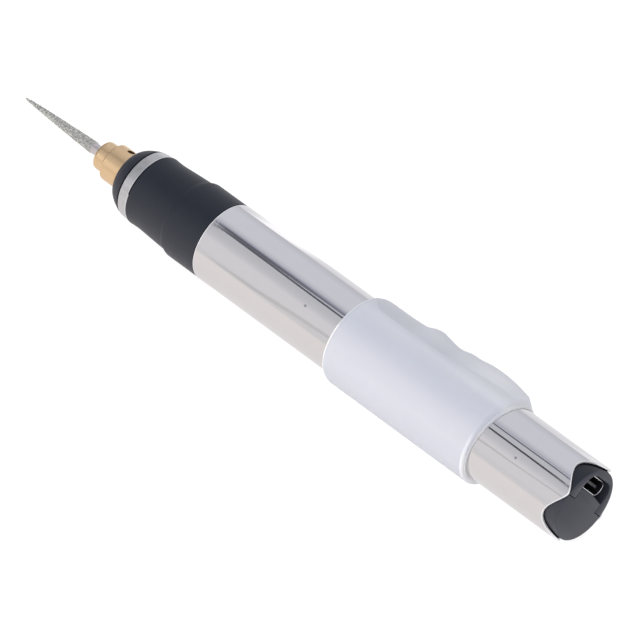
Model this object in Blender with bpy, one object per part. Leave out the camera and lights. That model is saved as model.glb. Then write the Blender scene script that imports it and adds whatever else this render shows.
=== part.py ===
"""Cordless engraving pen with a diamond burr, a brass chuck, a chromed barrel and a USB-C tail.

Every piece is drawn in the pen's own frame: x runs from the burr's tip to the tail, y and z are across,
z square to the circuit board. The frame is then rolled and set down so that the pen lies on its sleeve.
"""

import bmesh
import bpy
from math import asin, atan2, cos, pi, radians, sin, sqrt, tau
from mathutils import Matrix, Vector
from mathutils.geometry import interpolate_bezier

MM = 0.001

# General fits: what touches keeps a seat gap, what turns or slides a running gap
SEAT_GAP = 0.3 * MM
RUN_GAP = 0.15 * MM
JOINT_GAP = 0.15 * MM
OVERRUN = 1.0 * MM
MERGE = 0.00001 * MM
SHARP_ANGLE = radians(32)

# The whole pen
ROLL = radians(56.24)
ROUND_SIDES = 48
INNER_SIDES = 24
SMALL_SIDES = 16

# Barrel tube
TUBE_RADIUS = 9.0 * MM
TUBE_WALL = 0.5 * MM
TUBE_START = 59.1 * MM
RIM_DEPTH = 3.45 * MM
RIM_TONGUES = 4
RIM_POWER = 0.75
TUBE_BORE = TUBE_RADIUS - TUBE_WALL

# Diamond burr
BURR_LENGTH = 38.0 * MM
BURR_TIP_RADIUS = 0.16 * MM
BURR_HEAD_LENGTH = 20.2 * MM
BURR_HEAD_RADIUS = 1.38 * MM
BURR_NECK_LENGTH = 1.8 * MM
SHANK_RADIUS = 1.175 * MM
BURR_SWELL_POWER = 0.74
BURR_STEPS = 7

# Brass chuck
CHUCK_START = 23.35 * MM
CHUCK_NOSE_LENGTH = 3.15 * MM
CHUCK_NOSE_RADIUS = 3.28 * MM
CHUCK_RADIUS = 4.26 * MM
CHUCK_EDGE = 0.55 * MM
CHUCK_STEP_EDGE = 0.4 * MM
CHUCK_END = 46.0 * MM
CHUCK_WEB = 1.0 * MM
WEB_HOLE_RADIUS = 0.6 * MM
BURR_SCREW_PLACE = 29.55 * MM
SHAFT_SCREW_PLACE = 43.0 * MM
SCREW_HOLE_RADIUS = 0.82 * MM
SCREW_ANGLE = radians(114.5)
GRUB_RADIUS = 0.65 * MM
GRUB_LENGTH = 2.1 * MM
GRUB_SOCKET_RADIUS = 0.38 * MM
GRUB_SOCKET_DEPTH = 0.9 * MM
HEX_SIDES = 6
SCREW_SIDES = 12

# Nose grip
DOME_START = 31.65 * MM
DOME_OPENING = 4.65 * MM
DOME_END_RADIUS = 7.7 * MM
DOME_POWER = 0.45
DOME_STEPS = 6
LIP_THICKNESS = 1.2 * MM
RING_START = 35.7 * MM
RING_LENGTH = 2.5 * MM
RING_FRONT_RADIUS = 7.8 * MM
RING_REAR_RADIUS = 8.06 * MM
RING_WALL = 0.45 * MM
RING_GROOVE = 0.35 * MM
NOSE_FRONT_RADIUS = 8.1 * MM
NOSE_DIP_PLACE = 40.4 * MM
NOSE_DIP_RADIUS = 8.0 * MM
NOSE_WAIST_PLACE = 48.7 * MM
NOSE_WAIST_RADIUS = 8.44 * MM
COLLAR_START = 50.6 * MM
COLLAR_STEP = 0.05 * MM
COLLAR_RADIUS = TUBE_RADIUS - COLLAR_STEP
COLLAR_STEPS = 4
SPIGOT_LENGTH = 8.9 * MM
SPIGOT_END = TUBE_START + SPIGOT_LENGTH
BULKHEAD_START = 48.8 * MM
BULKHEAD_END = 51.0 * MM
NOSE_CAVITY_RADIUS = 5.6 * MM

# Motor
MOTOR_START = BULKHEAD_END + SEAT_GAP
MOTOR_RADIUS = 6.5 * MM
MOTOR_LENGTH = 20.0 * MM
MOTOR_END = MOTOR_START + MOTOR_LENGTH
CAN_WALL = 0.5 * MM
BOSS_RADIUS = 2.4 * MM
BOSS_LENGTH = 1.3 * MM
BUSH_RADIUS = 1.85 * MM
BUSH_LENGTH = 2.4 * MM
SHAFT_RADIUS = 1.0 * MM
CAP_PLUG_LENGTH = 1.8 * MM
CAP_FLANGE_LENGTH = 1.0 * MM
CAP_BOSS_LENGTH = 1.6 * MM
CAP_END_WALL = 0.8 * MM
TERMINAL_PLACE = 4.3 * MM
TERMINAL_THICKNESS = 0.4 * MM
TERMINAL_WIDTH = 2.0 * MM
TERMINAL_REACH = 2.8 * MM
MAGNET_FRONT_ROOM = 2.7 * MM
MAGNET_REAR_ROOM = 4.8 * MM
MAGNET_START = MOTOR_START + MAGNET_FRONT_ROOM
MAGNET_LENGTH = MOTOR_LENGTH - MAGNET_FRONT_ROOM - MAGNET_REAR_ROOM
MAGNET_WALL = 0.9 * MM
MAGNET_SPAN = radians(130)
MAGNET_STEPS = 8
CORE_FRONT_ROOM = 3.7 * MM
CORE_REAR_ROOM = 7.3 * MM
CORE_START = MOTOR_START + CORE_FRONT_ROOM
CORE_LENGTH = MOTOR_LENGTH - CORE_FRONT_ROOM - CORE_REAR_ROOM
CORE_RADIUS = 4.4 * MM
CORE_HUB_RADIUS = 1.9 * MM
POLE_COUNT = 3
POLE_NECK = 1.5 * MM
POLE_SHOE = 0.7 * MM
POLE_SPAN = radians(96)
POLE_STEPS = 6
COIL_GAP = 0.2 * MM
COIL_WIDTH = 0.8 * MM
COIL_HEIGHT = 0.8 * MM
COMMUTATOR_REAR_ROOM = 5.0 * MM
COMMUTATOR_START = MOTOR_END - COMMUTATOR_REAR_ROOM
COMMUTATOR_LENGTH = 2.6 * MM
COMMUTATOR_RADIUS = 2.1 * MM
COMMUTATOR_WALL = 0.5 * MM
SEGMENT_SPAN = radians(108)
SEGMENT_STEPS = 8
BRUSH_LENGTH = 1.2 * MM
BRUSH_HEIGHT = 1.15 * MM
BRUSH_WIDTH = 1.2 * MM
BRUSH_ARM_WALL = 0.3 * MM
BRUSH_ARM_LENGTH = 2.6 * MM
MOTOR_SCREW_PLACE = 4.1 * MM
MOTOR_SCREW_RADIUS = 0.75 * MM
MOTOR_SCREW_HEAD_RADIUS = 1.2 * MM
MOTOR_SCREW_HEAD = 1.0 * MM

# Inner shell, in two halves that meet on the board's side of the axis
LEAD_ROOM = 1.1 * MM
SHELL_START = MOTOR_END + SEAT_GAP + CAP_FLANGE_LENGTH + TERMINAL_REACH + LEAD_ROOM
SHELL_RADIUS = TUBE_BORE - SEAT_GAP
SHELL_WALL = 0.9 * MM
SHELL_BORE = SHELL_RADIUS - SHELL_WALL
SHELL_END_WALL = 1.2 * MM
SHELL_WALL_END = SHELL_START + SHELL_END_WALL
SWITCH_BAY_LENGTH = 10.3 * MM
FRONT_BULKHEAD_START = SHELL_WALL_END + SWITCH_BAY_LENGTH
FRONT_BULKHEAD_LENGTH = 1.3 * MM
FRONT_BULKHEAD_END = FRONT_BULKHEAD_START + FRONT_BULKHEAD_LENGTH
REAR_BULKHEAD_LENGTH = 3.3 * MM
BLOCK_HALF_WIDTH = 5.2 * MM
NOTCH_CORNER = 2.7 * MM
NOTCH_CORNER_STEPS = 4
SLOT_DEPTH = 1.05 * MM
SLOT_WIDTH = 1.3 * MM
SLOT_FLOOR = SHELL_RADIUS - SLOT_DEPTH
LEAD_DEPTH = 0.45 * MM
SLOT_PLACE = SHELL_RADIUS - LEAD_DEPTH
SLOT_RUN_OUT = 3.6 * MM
LEAD_PORT_PLACE = 4.5 * MM
LEAD_PORT_RADIUS = 1.3 * MM
TAB_PORT_SIDE = 3.9 * MM
TAB_PORT_DEPTH = 2.6 * MM

# Battery
CELL_RADIUS = SHELL_BORE - SEAT_GAP
CELL_LENGTH = 50.0 * MM
CELL_EDGE = 0.4 * MM
TAB_THICKNESS = 0.2 * MM
TAB_WIDTH = 5.6 * MM
TAB_LENGTH = CELL_RADIUS
CELL_CAP_RADIUS = 2.75 * MM
CELL_CAP_HEIGHT = 1.0 * MM
FRONT_TAB_START = FRONT_BULKHEAD_END + SEAT_GAP
CELL_START = FRONT_TAB_START + TAB_THICKNESS + SEAT_GAP
CELL_CAP_START = CELL_START + CELL_LENGTH + SEAT_GAP
REAR_TAB_START = CELL_CAP_START + CELL_CAP_HEIGHT + SEAT_GAP
REAR_BULKHEAD_START = REAR_TAB_START + TAB_THICKNESS + SEAT_GAP
REAR_BULKHEAD_END = REAR_BULKHEAD_START + REAR_BULKHEAD_LENGTH

# Charge board and port
BOARD_THICKNESS = 0.8 * MM
BOARD_LENGTH = 11.5 * MM
BOARD_END_GAP = 0.5 * MM
BOARD_START = REAR_BULKHEAD_END + BOARD_END_GAP
BOARD_END = BOARD_START + BOARD_LENGTH
PLUG_LENGTH = 5.0 * MM
PLUG_START = BOARD_END + BOARD_END_GAP
PEN_LENGTH = PLUG_START + PLUG_LENGTH
PORT_DEPTH = 3.75 * MM
PORT_HEIGHT_PLACE = SHELL_RADIUS - PORT_DEPTH
PORT_WIDTH = 8.94 * MM
PORT_HEIGHT = 3.26 * MM
PORT_LENGTH = 7.3 * MM
PORT_WALL = 0.3 * MM
PORT_RECESS = 1.3 * MM
PORT_ROOM_ABOVE = 1.93 * MM
PORT_ROOM_BELOW = 2.4 * MM
NOTCH_TOP = PORT_HEIGHT_PLACE + PORT_ROOM_ABOVE
BLOCK_HEIGHT = PORT_HEIGHT_PLACE - PORT_ROOM_BELOW
PORT_CORNER_STEPS = 5
PORT_SEAT = 0.12 * MM
BOARD_TOP = PORT_HEIGHT_PLACE - PORT_HEIGHT / 2 - PORT_SEAT
BOARD_SIDE_GAP = 0.28 * MM
BOARD_HALF_WIDTH = sqrt(SHELL_BORE**2 - BOARD_TOP**2) - BOARD_SIDE_GAP
TONGUE_WIDTH = 6.69 * MM
TONGUE_THICKNESS = 0.7 * MM
TONGUE_RECESS = 0.8 * MM
TONGUE_BASE_LENGTH = 1.6 * MM
POST_RADIUS = 1.3 * MM
POST_ROOM = 1.8 * MM
POST_PLACE = BOARD_START + POST_ROOM
POST_SIDE_ROOM = 2.65 * MM
POST_SIDE_PLACE = BOARD_HALF_WIDTH - POST_SIDE_ROOM
POST_BITE = 1.2 * MM
POST_ROOT = SHELL_BORE - POST_BITE
BOARD_SCREW_RADIUS = 0.6 * MM
BOARD_SCREW_HEAD_RADIUS = 1.15 * MM
BOARD_SCREW_HEAD = 0.8 * MM
BOARD_SCREW_LENGTH = 3.4 * MM
CHIP_SIDE_ROOM = 3.3 * MM
CHIP_SIZE = BOARD_HALF_WIDTH - CHIP_SIDE_ROOM
CHIP_HEIGHT = 0.9 * MM
COIL_CAN_SIZE = 3.0 * MM
COIL_CAN_HEIGHT = 1.8 * MM
CAPACITOR_LENGTH = 1.6 * MM
CAPACITOR_SIZE = 0.8 * MM
CAPACITOR_COUNT = 3
CHIP_SPACING = 0.6 * MM

# Button, its switch and the lamp, all set out from the pen's axis along the button's line
BUTTON_ROOM = 4.1 * MM
BUTTON_PLACE = SHELL_WALL_END + BUTTON_ROOM
BUTTON_ANGLE = radians(45)
BUTTON_RADIUS = 3.0 * MM
BUTTON_PROUD = 0.6 * MM
BUTTON_TOP = TUBE_RADIUS + BUTTON_PROUD
BUTTON_EDGE = 0.4 * MM
BUTTON_FLANGE = 0.5 * MM
BUTTON_FLANGE_DEPTH = 1.6 * MM
BUTTON_FLANGE_TOP = SHELL_RADIUS - BUTTON_FLANGE_DEPTH
BUTTON_FLANGE_THICKNESS = 0.6 * MM
BUTTON_HOLE_GAP = 0.2 * MM
BUTTON_WELL_DEPTH = 2.3 * MM
SWITCH_BOARD_DEPTH = 4.1 * MM
SWITCH_BOARD_BASE = BUTTON_FLANGE_TOP - SWITCH_BOARD_DEPTH
SWITCH_BOARD_END_BITE = 0.5 * MM
SWITCH_BOARD_WIDTH = 7.0 * MM
SWITCH_SIZE = 4.5 * MM
SWITCH_HEIGHT = 1.75 * MM
SWITCH_FLOOR = 0.3 * MM
PLUNGER_RADIUS = 1.1 * MM
PLUNGER_LENGTH = 1.55 * MM
LAMP_SPACING = 4.8 * MM
LAMP_PLACE = BUTTON_PLACE + LAMP_SPACING
LAMP_LENGTH = 1.6 * MM
LAMP_WIDTH = 1.2 * MM
LAMP_HEIGHT = 0.8 * MM
LENS_RADIUS = 0.8 * MM
LENS_SHOULDER_RADIUS = 1.1 * MM
LENS_SHOULDER_DEPTH = 1.3 * MM
LENS_SHOULDER_TOP = SHELL_RADIUS - LENS_SHOULDER_DEPTH
LENS_SHOULDER_THICKNESS = 0.6 * MM
LENS_PROUD = 0.05 * MM

# Soft sleeve
SLEEVE_SPACING = 8.4 * MM
SLEEVE_START = FRONT_BULKHEAD_END + SLEEVE_SPACING
SLEEVE_LENGTH = 41.7 * MM
SLEEVE_WALL = 1.3 * MM
SLEEVE_RADIUS = TUBE_RADIUS + SLEEVE_WALL
SLEEVE_SIDES = 24
SLEEVE_LIP = 1.1 * MM
PAD_HEIGHT = 1.8 * MM
PAD_POWER = 1.3
# Along the sleeve, how high the pad stands: share of the length, share of the pad's height
PAD_SHARES = (
    (0.0, 0.0),
    (0.04, 0.04),
    (0.19, 0.05),
    (0.27, 0.14),
    (0.3, 0.24),
    (0.34, 0.6),
    (0.38, 0.74),
    (0.43, 0.58),
    (0.495, 0.37),
    (0.54, 0.46),
    (0.58, 0.67),
    (0.64, 0.73),
    (0.7, 0.94),
    (0.78, 1.0),
    (0.855, 0.9),
    (0.91, 0.73),
    (0.972, 0.48),
    (1.0, 0.42),
)

# Leads
LEAD_RADIUS = 0.35 * MM
LEAD_RESOLUTION = 1
LEAD_BEND = 1.2 * MM
LEAD_TURN = 2.4 * MM
LEAD_SMOOTH = 4
LEAD_HANDLE_SHARE = 1 / 6
LEAD_JOINT_ROOM = 5.5 * MM
LEAD_JOINT_PLACE = BOARD_START + LEAD_JOINT_ROOM

COLOURS = {
    "burr": ((0.55, 0.54, 0.52), 0.5, 1.0),
    "brass": ((0.80, 0.58, 0.30), 0.3, 1.0),
    "black": ((0.022, 0.024, 0.03), 0.55, 0.0),
    "ring": ((0.62, 0.62, 0.62), 0.3, 1.0),
    "chrome": ((0.78, 0.77, 0.77), 0.08, 1.0),
    "sleeve": ((0.72, 0.75, 0.80), 0.4, 0.0),
    "plug": ((0.025, 0.027, 0.032), 0.4, 0.0),
    "steel": ((0.55, 0.55, 0.56), 0.3, 1.0),
    "dark_steel": ((0.12, 0.12, 0.12), 0.45, 1.0),
    "magnet": ((0.09, 0.09, 0.10), 0.6, 0.0),
    "copper": ((0.72, 0.30, 0.14), 0.35, 1.0),
    "bronze": ((0.55, 0.36, 0.18), 0.45, 1.0),
    "nylon": ((0.75, 0.73, 0.66), 0.5, 0.0),
    "carbon": ((0.03, 0.03, 0.03), 0.7, 0.0),
    "wrap": ((0.05, 0.22, 0.42), 0.3, 0.0),
    "board": ((0.02, 0.16, 0.06), 0.45, 0.0),
    "chip": ((0.02, 0.02, 0.02), 0.5, 0.0),
    "lens": ((0.75, 0.80, 0.82), 0.15, 0.0),
    "red": ((0.55, 0.02, 0.02), 0.45, 0.0),
    "dark": ((0.02, 0.02, 0.02), 0.45, 0.0),
}


def clear_scene():
    """Removes what an open file holds."""
    for item in list(bpy.data.objects):
        bpy.data.objects.remove(item, do_unlink=True)


def finish_for(node, finish):
    """One material for a node."""
    colour, roughness, metallic = COLOURS[finish]
    made = bpy.data.materials.new(node)
    made.use_nodes = True
    shader = made.node_tree.nodes["Principled BSDF"]
    shader.inputs["Base Color"].default_value = (*colour, 1)
    shader.inputs["Roughness"].default_value = roughness
    shader.inputs["Metallic"].default_value = metallic
    return made


def add_empty(name, parent=None, location=(0, 0, 0), roll=0):
    """An empty that carries pieces."""
    made = bpy.data.objects.new(name, None)
    bpy.context.collection.objects.link(made)
    made.parent = parent
    made.location = location
    made.rotation_euler.x = roll
    return made


def add_piece(name, mesh_maker, finish, parent):
    """A node from a bmesh: closed, with its faces out and its round sides smooth."""
    bmesh.ops.recalc_face_normals(mesh_maker, faces=mesh_maker.faces)
    mesh = bpy.data.meshes.new(name)
    mesh_maker.to_mesh(mesh)
    mesh_maker.free()
    mesh.shade_smooth()
    mesh.set_sharp_from_angle(angle=SHARP_ANGLE)
    made = bpy.data.objects.new(name, mesh)
    bpy.context.collection.objects.link(made)
    made.parent = parent
    mesh.materials.append(finish_for(name, finish))
    # Pieces are drawn in the pen's frame, so a moving piece's mesh is shifted back to its own origin
    shift = parent_place(parent)
    mesh.transform(Matrix.Translation(-shift))
    return made


def parent_place(parent):
    """Where an empty lies in the pen's frame."""
    place = Vector((0, 0, 0))
    while parent is not None and parent.parent is not None:
        place += Vector(parent.location)
        parent = parent.parent
    return place


def add_set(name, makers, finish, parent):
    """Pieces that repeat: each its own node, numbered from one."""
    return [add_piece(f"{name}_{count}", maker, finish, parent) for count, maker in enumerate(makers, 1)]


def spin_profile(profile, sides, phase=0):
    """A profile of (x, radius) points turned about the x axis; a closed loop unless it ends on the axis."""
    maker = bmesh.new()
    side = Vector((0, cos(phase), sin(phase)))
    points = [maker.verts.new(Vector((x, 0, 0)) + side * radius) for x, radius in profile]
    for first, second in zip(points, points[1:]):
        maker.edges.new((first, second))
    if profile[0][1] > 0 or profile[-1][1] > 0:
        maker.edges.new((points[-1], points[0]))
    bmesh.ops.spin(
        maker,
        geom=maker.verts[:] + maker.edges[:],
        cent=(0, 0, 0),
        axis=(1, 0, 0),
        dvec=(0, 0, 0),
        angle=tau,
        steps=sides,
        use_merge=True,
        use_normal_flip=False,
        use_duplicate=False,
    )
    bmesh.ops.remove_doubles(maker, verts=maker.verts, dist=MERGE)
    return maker


def prism(outline, low, high, direction=Vector((1, 0, 0)), across=(Vector((0, 1, 0)), Vector((0, 0, 1)))):
    """An outline of (a, b) points in the plane of `across`, extruded along a direction from low to high."""
    maker = bmesh.new()
    base = [maker.verts.new(across[0] * a + across[1] * b + direction * low) for a, b in outline]
    face = maker.faces.new(base)
    grown = bmesh.ops.extrude_face_region(maker, geom=[face])
    moved = [item for item in grown["geom"] if isinstance(item, bmesh.types.BMVert)]
    bmesh.ops.translate(maker, verts=moved, vec=direction * (high - low))
    return maker


def box(x_range, y_range, z_range):
    """A block between two corners."""
    outline = [
        (y_range[0], z_range[0]),
        (y_range[1], z_range[0]),
        (y_range[1], z_range[1]),
        (y_range[0], z_range[1]),
    ]
    return prism(outline, x_range[0], x_range[1])


def radial_frame(place, angle):
    """Turns a shape drawn along x into one drawn outward from the pen's axis at a place and an angle."""
    outward = Vector((0, cos(angle), sin(angle)))
    along = Vector((-1, 0, 0))
    third = outward.cross(along)
    return Matrix(
        (
            (outward.x, along.x, third.x, place),
            (outward.y, along.y, third.y, 0),
            (outward.z, along.z, third.z, 0),
            (0, 0, 0, 1),
        )
    )


def radial(maker, place, angle):
    """Moves a shape drawn along x to a radial line of the pen."""
    bmesh.ops.transform(maker, matrix=radial_frame(place, angle), verts=maker.verts)
    return maker


def rod(low, high, radius, sides=SCREW_SIDES):
    """A plain round solid on the x axis."""
    return spin_profile([(low, 0), (low, radius), (high, radius), (high, 0)], sides)


def move(maker, offset):
    """Shifts a shape."""
    bmesh.ops.translate(maker, verts=maker.verts, vec=offset)
    return maker


def arc_piece(x_range, inner, outer, middle, span, steps):
    """A part of a ring between two angles."""
    angles = [middle - span / 2 + span * k / steps for k in range(steps + 1)]
    outline = [(outer * cos(a), outer * sin(a)) for a in angles]
    outline += [(inner * cos(a), inner * sin(a)) for a in reversed(angles)]
    return prism(outline, *x_range)


def cut(target, *makers):
    """Cuts shapes out of a piece with Boolean modifiers."""
    shift = Matrix.Translation(-parent_place(target.parent))
    for count, maker in enumerate(makers):
        bmesh.ops.recalc_face_normals(maker, faces=maker.faces)
        mesh = bpy.data.meshes.new(f"{target.name}_cutter_{count}")
        maker.to_mesh(mesh)
        maker.free()
        mesh.transform(shift)
        cutter = bpy.data.objects.new(mesh.name, mesh)
        bpy.context.collection.objects.link(cutter)
        cutter.parent = target.parent
        cutter.hide_render = True
        cutter.display_type = "WIRE"
        modifier = target.modifiers.new(mesh.name, "BOOLEAN")
        modifier.operation = "DIFFERENCE"
        modifier.object = cutter
    return target


def weld(target, *makers):
    """Joins shapes to a piece with Boolean unions."""
    before = len(target.modifiers)
    cut(target, *makers)
    for modifier in list(target.modifiers)[before:]:
        modifier.operation = "UNION"
    return target


def make_burr(spindle):
    """The tapered burr: a swelling cone, a short neck and the plain shank."""
    profile = [(0, 0)]
    for step in range(BURR_STEPS + 1):
        share = step / BURR_STEPS
        swell = BURR_TIP_RADIUS + (BURR_HEAD_RADIUS - BURR_TIP_RADIUS) * share**BURR_SWELL_POWER
        profile.append((BURR_HEAD_LENGTH * share + BURR_TIP_RADIUS * (1 - share), swell))
    profile.append((BURR_HEAD_LENGTH + BURR_NECK_LENGTH, SHANK_RADIUS))
    profile.append((BURR_LENGTH - BURR_TIP_RADIUS, SHANK_RADIUS))
    profile.append((BURR_LENGTH, SHANK_RADIUS - BURR_TIP_RADIUS))
    profile.append((BURR_LENGTH, 0))
    return add_piece("diamond_burr", spin_profile(profile, SMALL_SIDES), "burr", spindle)


def screw_angles():
    """The two opposite lines of the chuck's screws."""
    return (SCREW_ANGLE, SCREW_ANGLE + pi)


def make_chuck(spindle):
    """The stepped brass chuck, bored for the burr in front and for the motor's shaft behind."""
    nose_end = CHUCK_START + CHUCK_NOSE_LENGTH
    burr_bore = SHANK_RADIUS + RUN_GAP
    shaft_bore = SHAFT_RADIUS + RUN_GAP
    burr_floor = BURR_LENGTH + SEAT_GAP
    profile = [
        (CHUCK_START, burr_bore),
        (CHUCK_START, CHUCK_NOSE_RADIUS - CHUCK_EDGE),
        (CHUCK_START + CHUCK_EDGE, CHUCK_NOSE_RADIUS),
        (nose_end, CHUCK_NOSE_RADIUS),
        (nose_end, CHUCK_RADIUS - CHUCK_STEP_EDGE),
        (nose_end + CHUCK_STEP_EDGE, CHUCK_RADIUS),
        (CHUCK_END - CHUCK_STEP_EDGE, CHUCK_RADIUS),
        (CHUCK_END, CHUCK_RADIUS - CHUCK_STEP_EDGE),
        (CHUCK_END, shaft_bore),
        (burr_floor + CHUCK_WEB, shaft_bore),
        (burr_floor + CHUCK_WEB, WEB_HOLE_RADIUS),
        (burr_floor, WEB_HOLE_RADIUS),
        (burr_floor, burr_bore),
    ]
    chuck = add_piece("chuck_body", spin_profile(profile, INNER_SIDES), "brass", spindle)
    for place, bore in ((BURR_SCREW_PLACE, burr_bore), (SHAFT_SCREW_PLACE, shaft_bore)):
        reach = CHUCK_RADIUS + OVERRUN
        for angle in screw_angles():
            cut(chuck, radial(rod(bore / 2, reach, SCREW_HOLE_RADIUS), place, angle))
    return chuck


def make_chuck_screws(spindle):
    """Four identical grub screws: two on the burr's shank and two on the motor's shaft."""
    seats = [(BURR_SCREW_PLACE, SHANK_RADIUS + SEAT_GAP), (SHAFT_SCREW_PLACE, SHAFT_RADIUS + SEAT_GAP)]
    lines = [(place, angle, foot) for place, foot in seats for angle in screw_angles()]
    plain = [radial(rod(foot, foot + GRUB_LENGTH, GRUB_RADIUS), place, angle) for place, angle, foot in lines]
    screws = add_set("chuck_screw", plain, "dark_steel", spindle)
    for screw, (place, angle, foot) in zip(screws, lines):
        head = foot + GRUB_LENGTH
        socket = rod(head - GRUB_SOCKET_DEPTH, head + OVERRUN, GRUB_SOCKET_RADIUS, HEX_SIDES)
        cut(screw, radial(socket, place, angle))


def dome_points():
    """The front of the nose, from its opening out to the groove before the ring."""
    length = RING_START - RING_GROOVE - DOME_START
    rise = DOME_END_RADIUS - DOME_OPENING
    points = []
    for step in range(DOME_STEPS + 1):
        share = (step / DOME_STEPS) ** 2
        points.append((DOME_START + length * share, DOME_OPENING + rise * share**DOME_POWER))
    return points


def collar_points():
    """The smooth step from the waist up to the collar."""
    points = []
    for step in range(COLLAR_STEPS + 1):
        share = step / COLLAR_STEPS
        rise = (1 - cos(pi * share)) / 2
        x = NOSE_WAIST_PLACE + (COLLAR_START - NOSE_WAIST_PLACE) * share
        points.append((x, NOSE_WAIST_RADIUS + (COLLAR_RADIUS - NOSE_WAIST_RADIUS) * rise))
    return points


def make_nose(root):
    """The black nose: dome, ring seat, waist, collar, and the spigot that fits in the tube."""
    ring_seat = RING_FRONT_RADIUS - RING_WALL - RUN_GAP
    ring_end = RING_START + RING_LENGTH + RUN_GAP
    collar_end = TUBE_START - RUN_GAP
    spigot = TUBE_BORE - RUN_GAP
    motor_bore = MOTOR_RADIUS + SEAT_GAP
    boss_hole = BOSS_RADIUS + SEAT_GAP
    profile = dome_points()
    profile += [(RING_START - RING_GROOVE, ring_seat), (ring_end, ring_seat), (ring_end, NOSE_FRONT_RADIUS)]
    profile.append((NOSE_DIP_PLACE, NOSE_DIP_RADIUS))
    profile += collar_points()
    profile += [
        (collar_end, COLLAR_RADIUS),
        (collar_end, spigot),
        (SPIGOT_END, spigot),
        (SPIGOT_END, motor_bore),
        (BULKHEAD_END, motor_bore),
        (BULKHEAD_END, boss_hole),
        (BULKHEAD_START, boss_hole),
        (BULKHEAD_START, NOSE_CAVITY_RADIUS),
        (DOME_START + LIP_THICKNESS, NOSE_CAVITY_RADIUS),
        (DOME_START + LIP_THICKNESS, DOME_OPENING),
    ]
    nose = add_piece("nose_grip", spin_profile(profile, ROUND_SIDES), "black", root)
    for side in (-1, 1):
        hole = rod(BULKHEAD_START - OVERRUN, BULKHEAD_END + OVERRUN, MOTOR_SCREW_RADIUS + RUN_GAP)
        cut(nose, move(hole, Vector((0, side * MOTOR_SCREW_PLACE, 0))))
    return nose


def make_ring(root):
    """The brushed ring let into the nose."""
    inner = RING_FRONT_RADIUS - RING_WALL
    end = RING_START + RING_LENGTH
    profile = [(RING_START, inner), (RING_START, RING_FRONT_RADIUS), (end, RING_REAR_RADIUS), (end, inner)]
    return add_piece("nose_ring", spin_profile(profile, ROUND_SIDES), "ring", root)


def rim_place(angle):
    """How far the tube reaches at an angle: tongues on the axes, scallops between them."""
    wave = (1 - cos(RIM_TONGUES * angle)) / 2
    return PEN_LENGTH - RIM_DEPTH * wave**RIM_POWER


def make_tube(root):
    """The barrel: a thin tube with a wavy tail rim, the button's hole and the lens's hole."""
    profile = [
        (TUBE_START, TUBE_BORE),
        (TUBE_START, TUBE_RADIUS),
        (PEN_LENGTH, TUBE_RADIUS),
        (PEN_LENGTH, TUBE_BORE),
    ]
    maker = spin_profile(profile, ROUND_SIDES)
    middle = (TUBE_START + PEN_LENGTH) / 2
    for point in maker.verts:
        if point.co.x > middle:
            point.co.x = rim_place(atan2(point.co.z, point.co.y))
    tube = add_piece("barrel_tube", maker, "chrome", root)
    reach = (TUBE_BORE - OVERRUN, TUBE_RADIUS + OVERRUN)
    cut(tube, radial(rod(*reach, BUTTON_RADIUS + BUTTON_HOLE_GAP, INNER_SIDES), BUTTON_PLACE, BUTTON_ANGLE))
    cut(tube, radial(rod(*reach, LENS_RADIUS + RUN_GAP), LAMP_PLACE, BUTTON_ANGLE))
    return tube


def pad_height(x):
    """How far the sleeve's pad stands out at a place along the pen, straight between its shares."""
    share = (x - SLEEVE_START) / SLEEVE_LENGTH
    for (low, low_height), (high, high_height) in zip(PAD_SHARES, PAD_SHARES[1:]):
        if low <= share <= high:
            part = (share - low) / (high - low)
            return PAD_HEIGHT * (low_height + (high_height - low_height) * part)
    return 0.0


def sleeve_phase():
    """Turns the sleeve so that one of its flats faces the floor."""
    floor_angle = atan2(-cos(ROLL), sin(ROLL))
    return floor_angle + pi / SLEEVE_SIDES


def make_sleeve(carrier):
    """The soft sleeve: an even wall, and a pad with two swellings along its far side."""
    end = SLEEVE_START + SLEEVE_LENGTH
    corner_scale = 1 / cos(pi / SLEEVE_SIDES)
    bore = (TUBE_RADIUS + RUN_GAP) * corner_scale
    wall = SLEEVE_RADIUS * corner_scale
    profile = [(SLEEVE_START + SLEEVE_LIP / 2, bore), (SLEEVE_START, (bore + wall) / 2)]
    profile.append((SLEEVE_START + SLEEVE_LIP, wall))
    profile += [(SLEEVE_START + SLEEVE_LENGTH * share, wall) for share, _ in PAD_SHARES[2:-1]]
    profile.append((end, bore + RUN_GAP))
    profile.append((end - SLEEVE_LIP / 2, bore))
    maker = spin_profile(profile, SLEEVE_SIDES, sleeve_phase())
    for point in maker.verts:
        radius = sqrt(point.co.y**2 + point.co.z**2)
        side = max(0.0, point.co.z / radius)
        outer_share = (radius - bore) / (wall - bore)
        scale = 1 + pad_height(point.co.x) * side**PAD_POWER * outer_share / radius
        point.co.y *= scale
        point.co.z *= scale
    return add_piece("grip_sleeve", maker, "sleeve", carrier)


def half_disc(radius, gap, side, sides=ROUND_SIDES):
    """The outline of a half round, flat side on the parting plane."""
    start = asin(gap / radius)
    span = pi - 2 * start
    count = sides // 2
    angles = [start + span * k / count for k in range(count + 1)]
    return [(radius * cos(a), side * radius * sin(a)) for a in angles]


def switch_board_range():
    """The switch board's two faces, as heights on the button's line."""
    return SWITCH_BOARD_BASE, SWITCH_BOARD_BASE + BOARD_THICKNESS


def button_block(x_range, width, height_range):
    """A block drawn on the button's line: its length along the pen, its width across, its height outward."""
    outward = Vector((0, cos(BUTTON_ANGLE), sin(BUTTON_ANGLE)))
    across = Vector((0, -sin(BUTTON_ANGLE), cos(BUTTON_ANGLE)))
    half = width / 2
    outline = [(-half, x_range[0]), (half, x_range[0]), (half, x_range[1]), (-half, x_range[1])]
    return prism(outline, *height_range, direction=outward, across=(across, Vector((1, 0, 0))))


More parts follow.
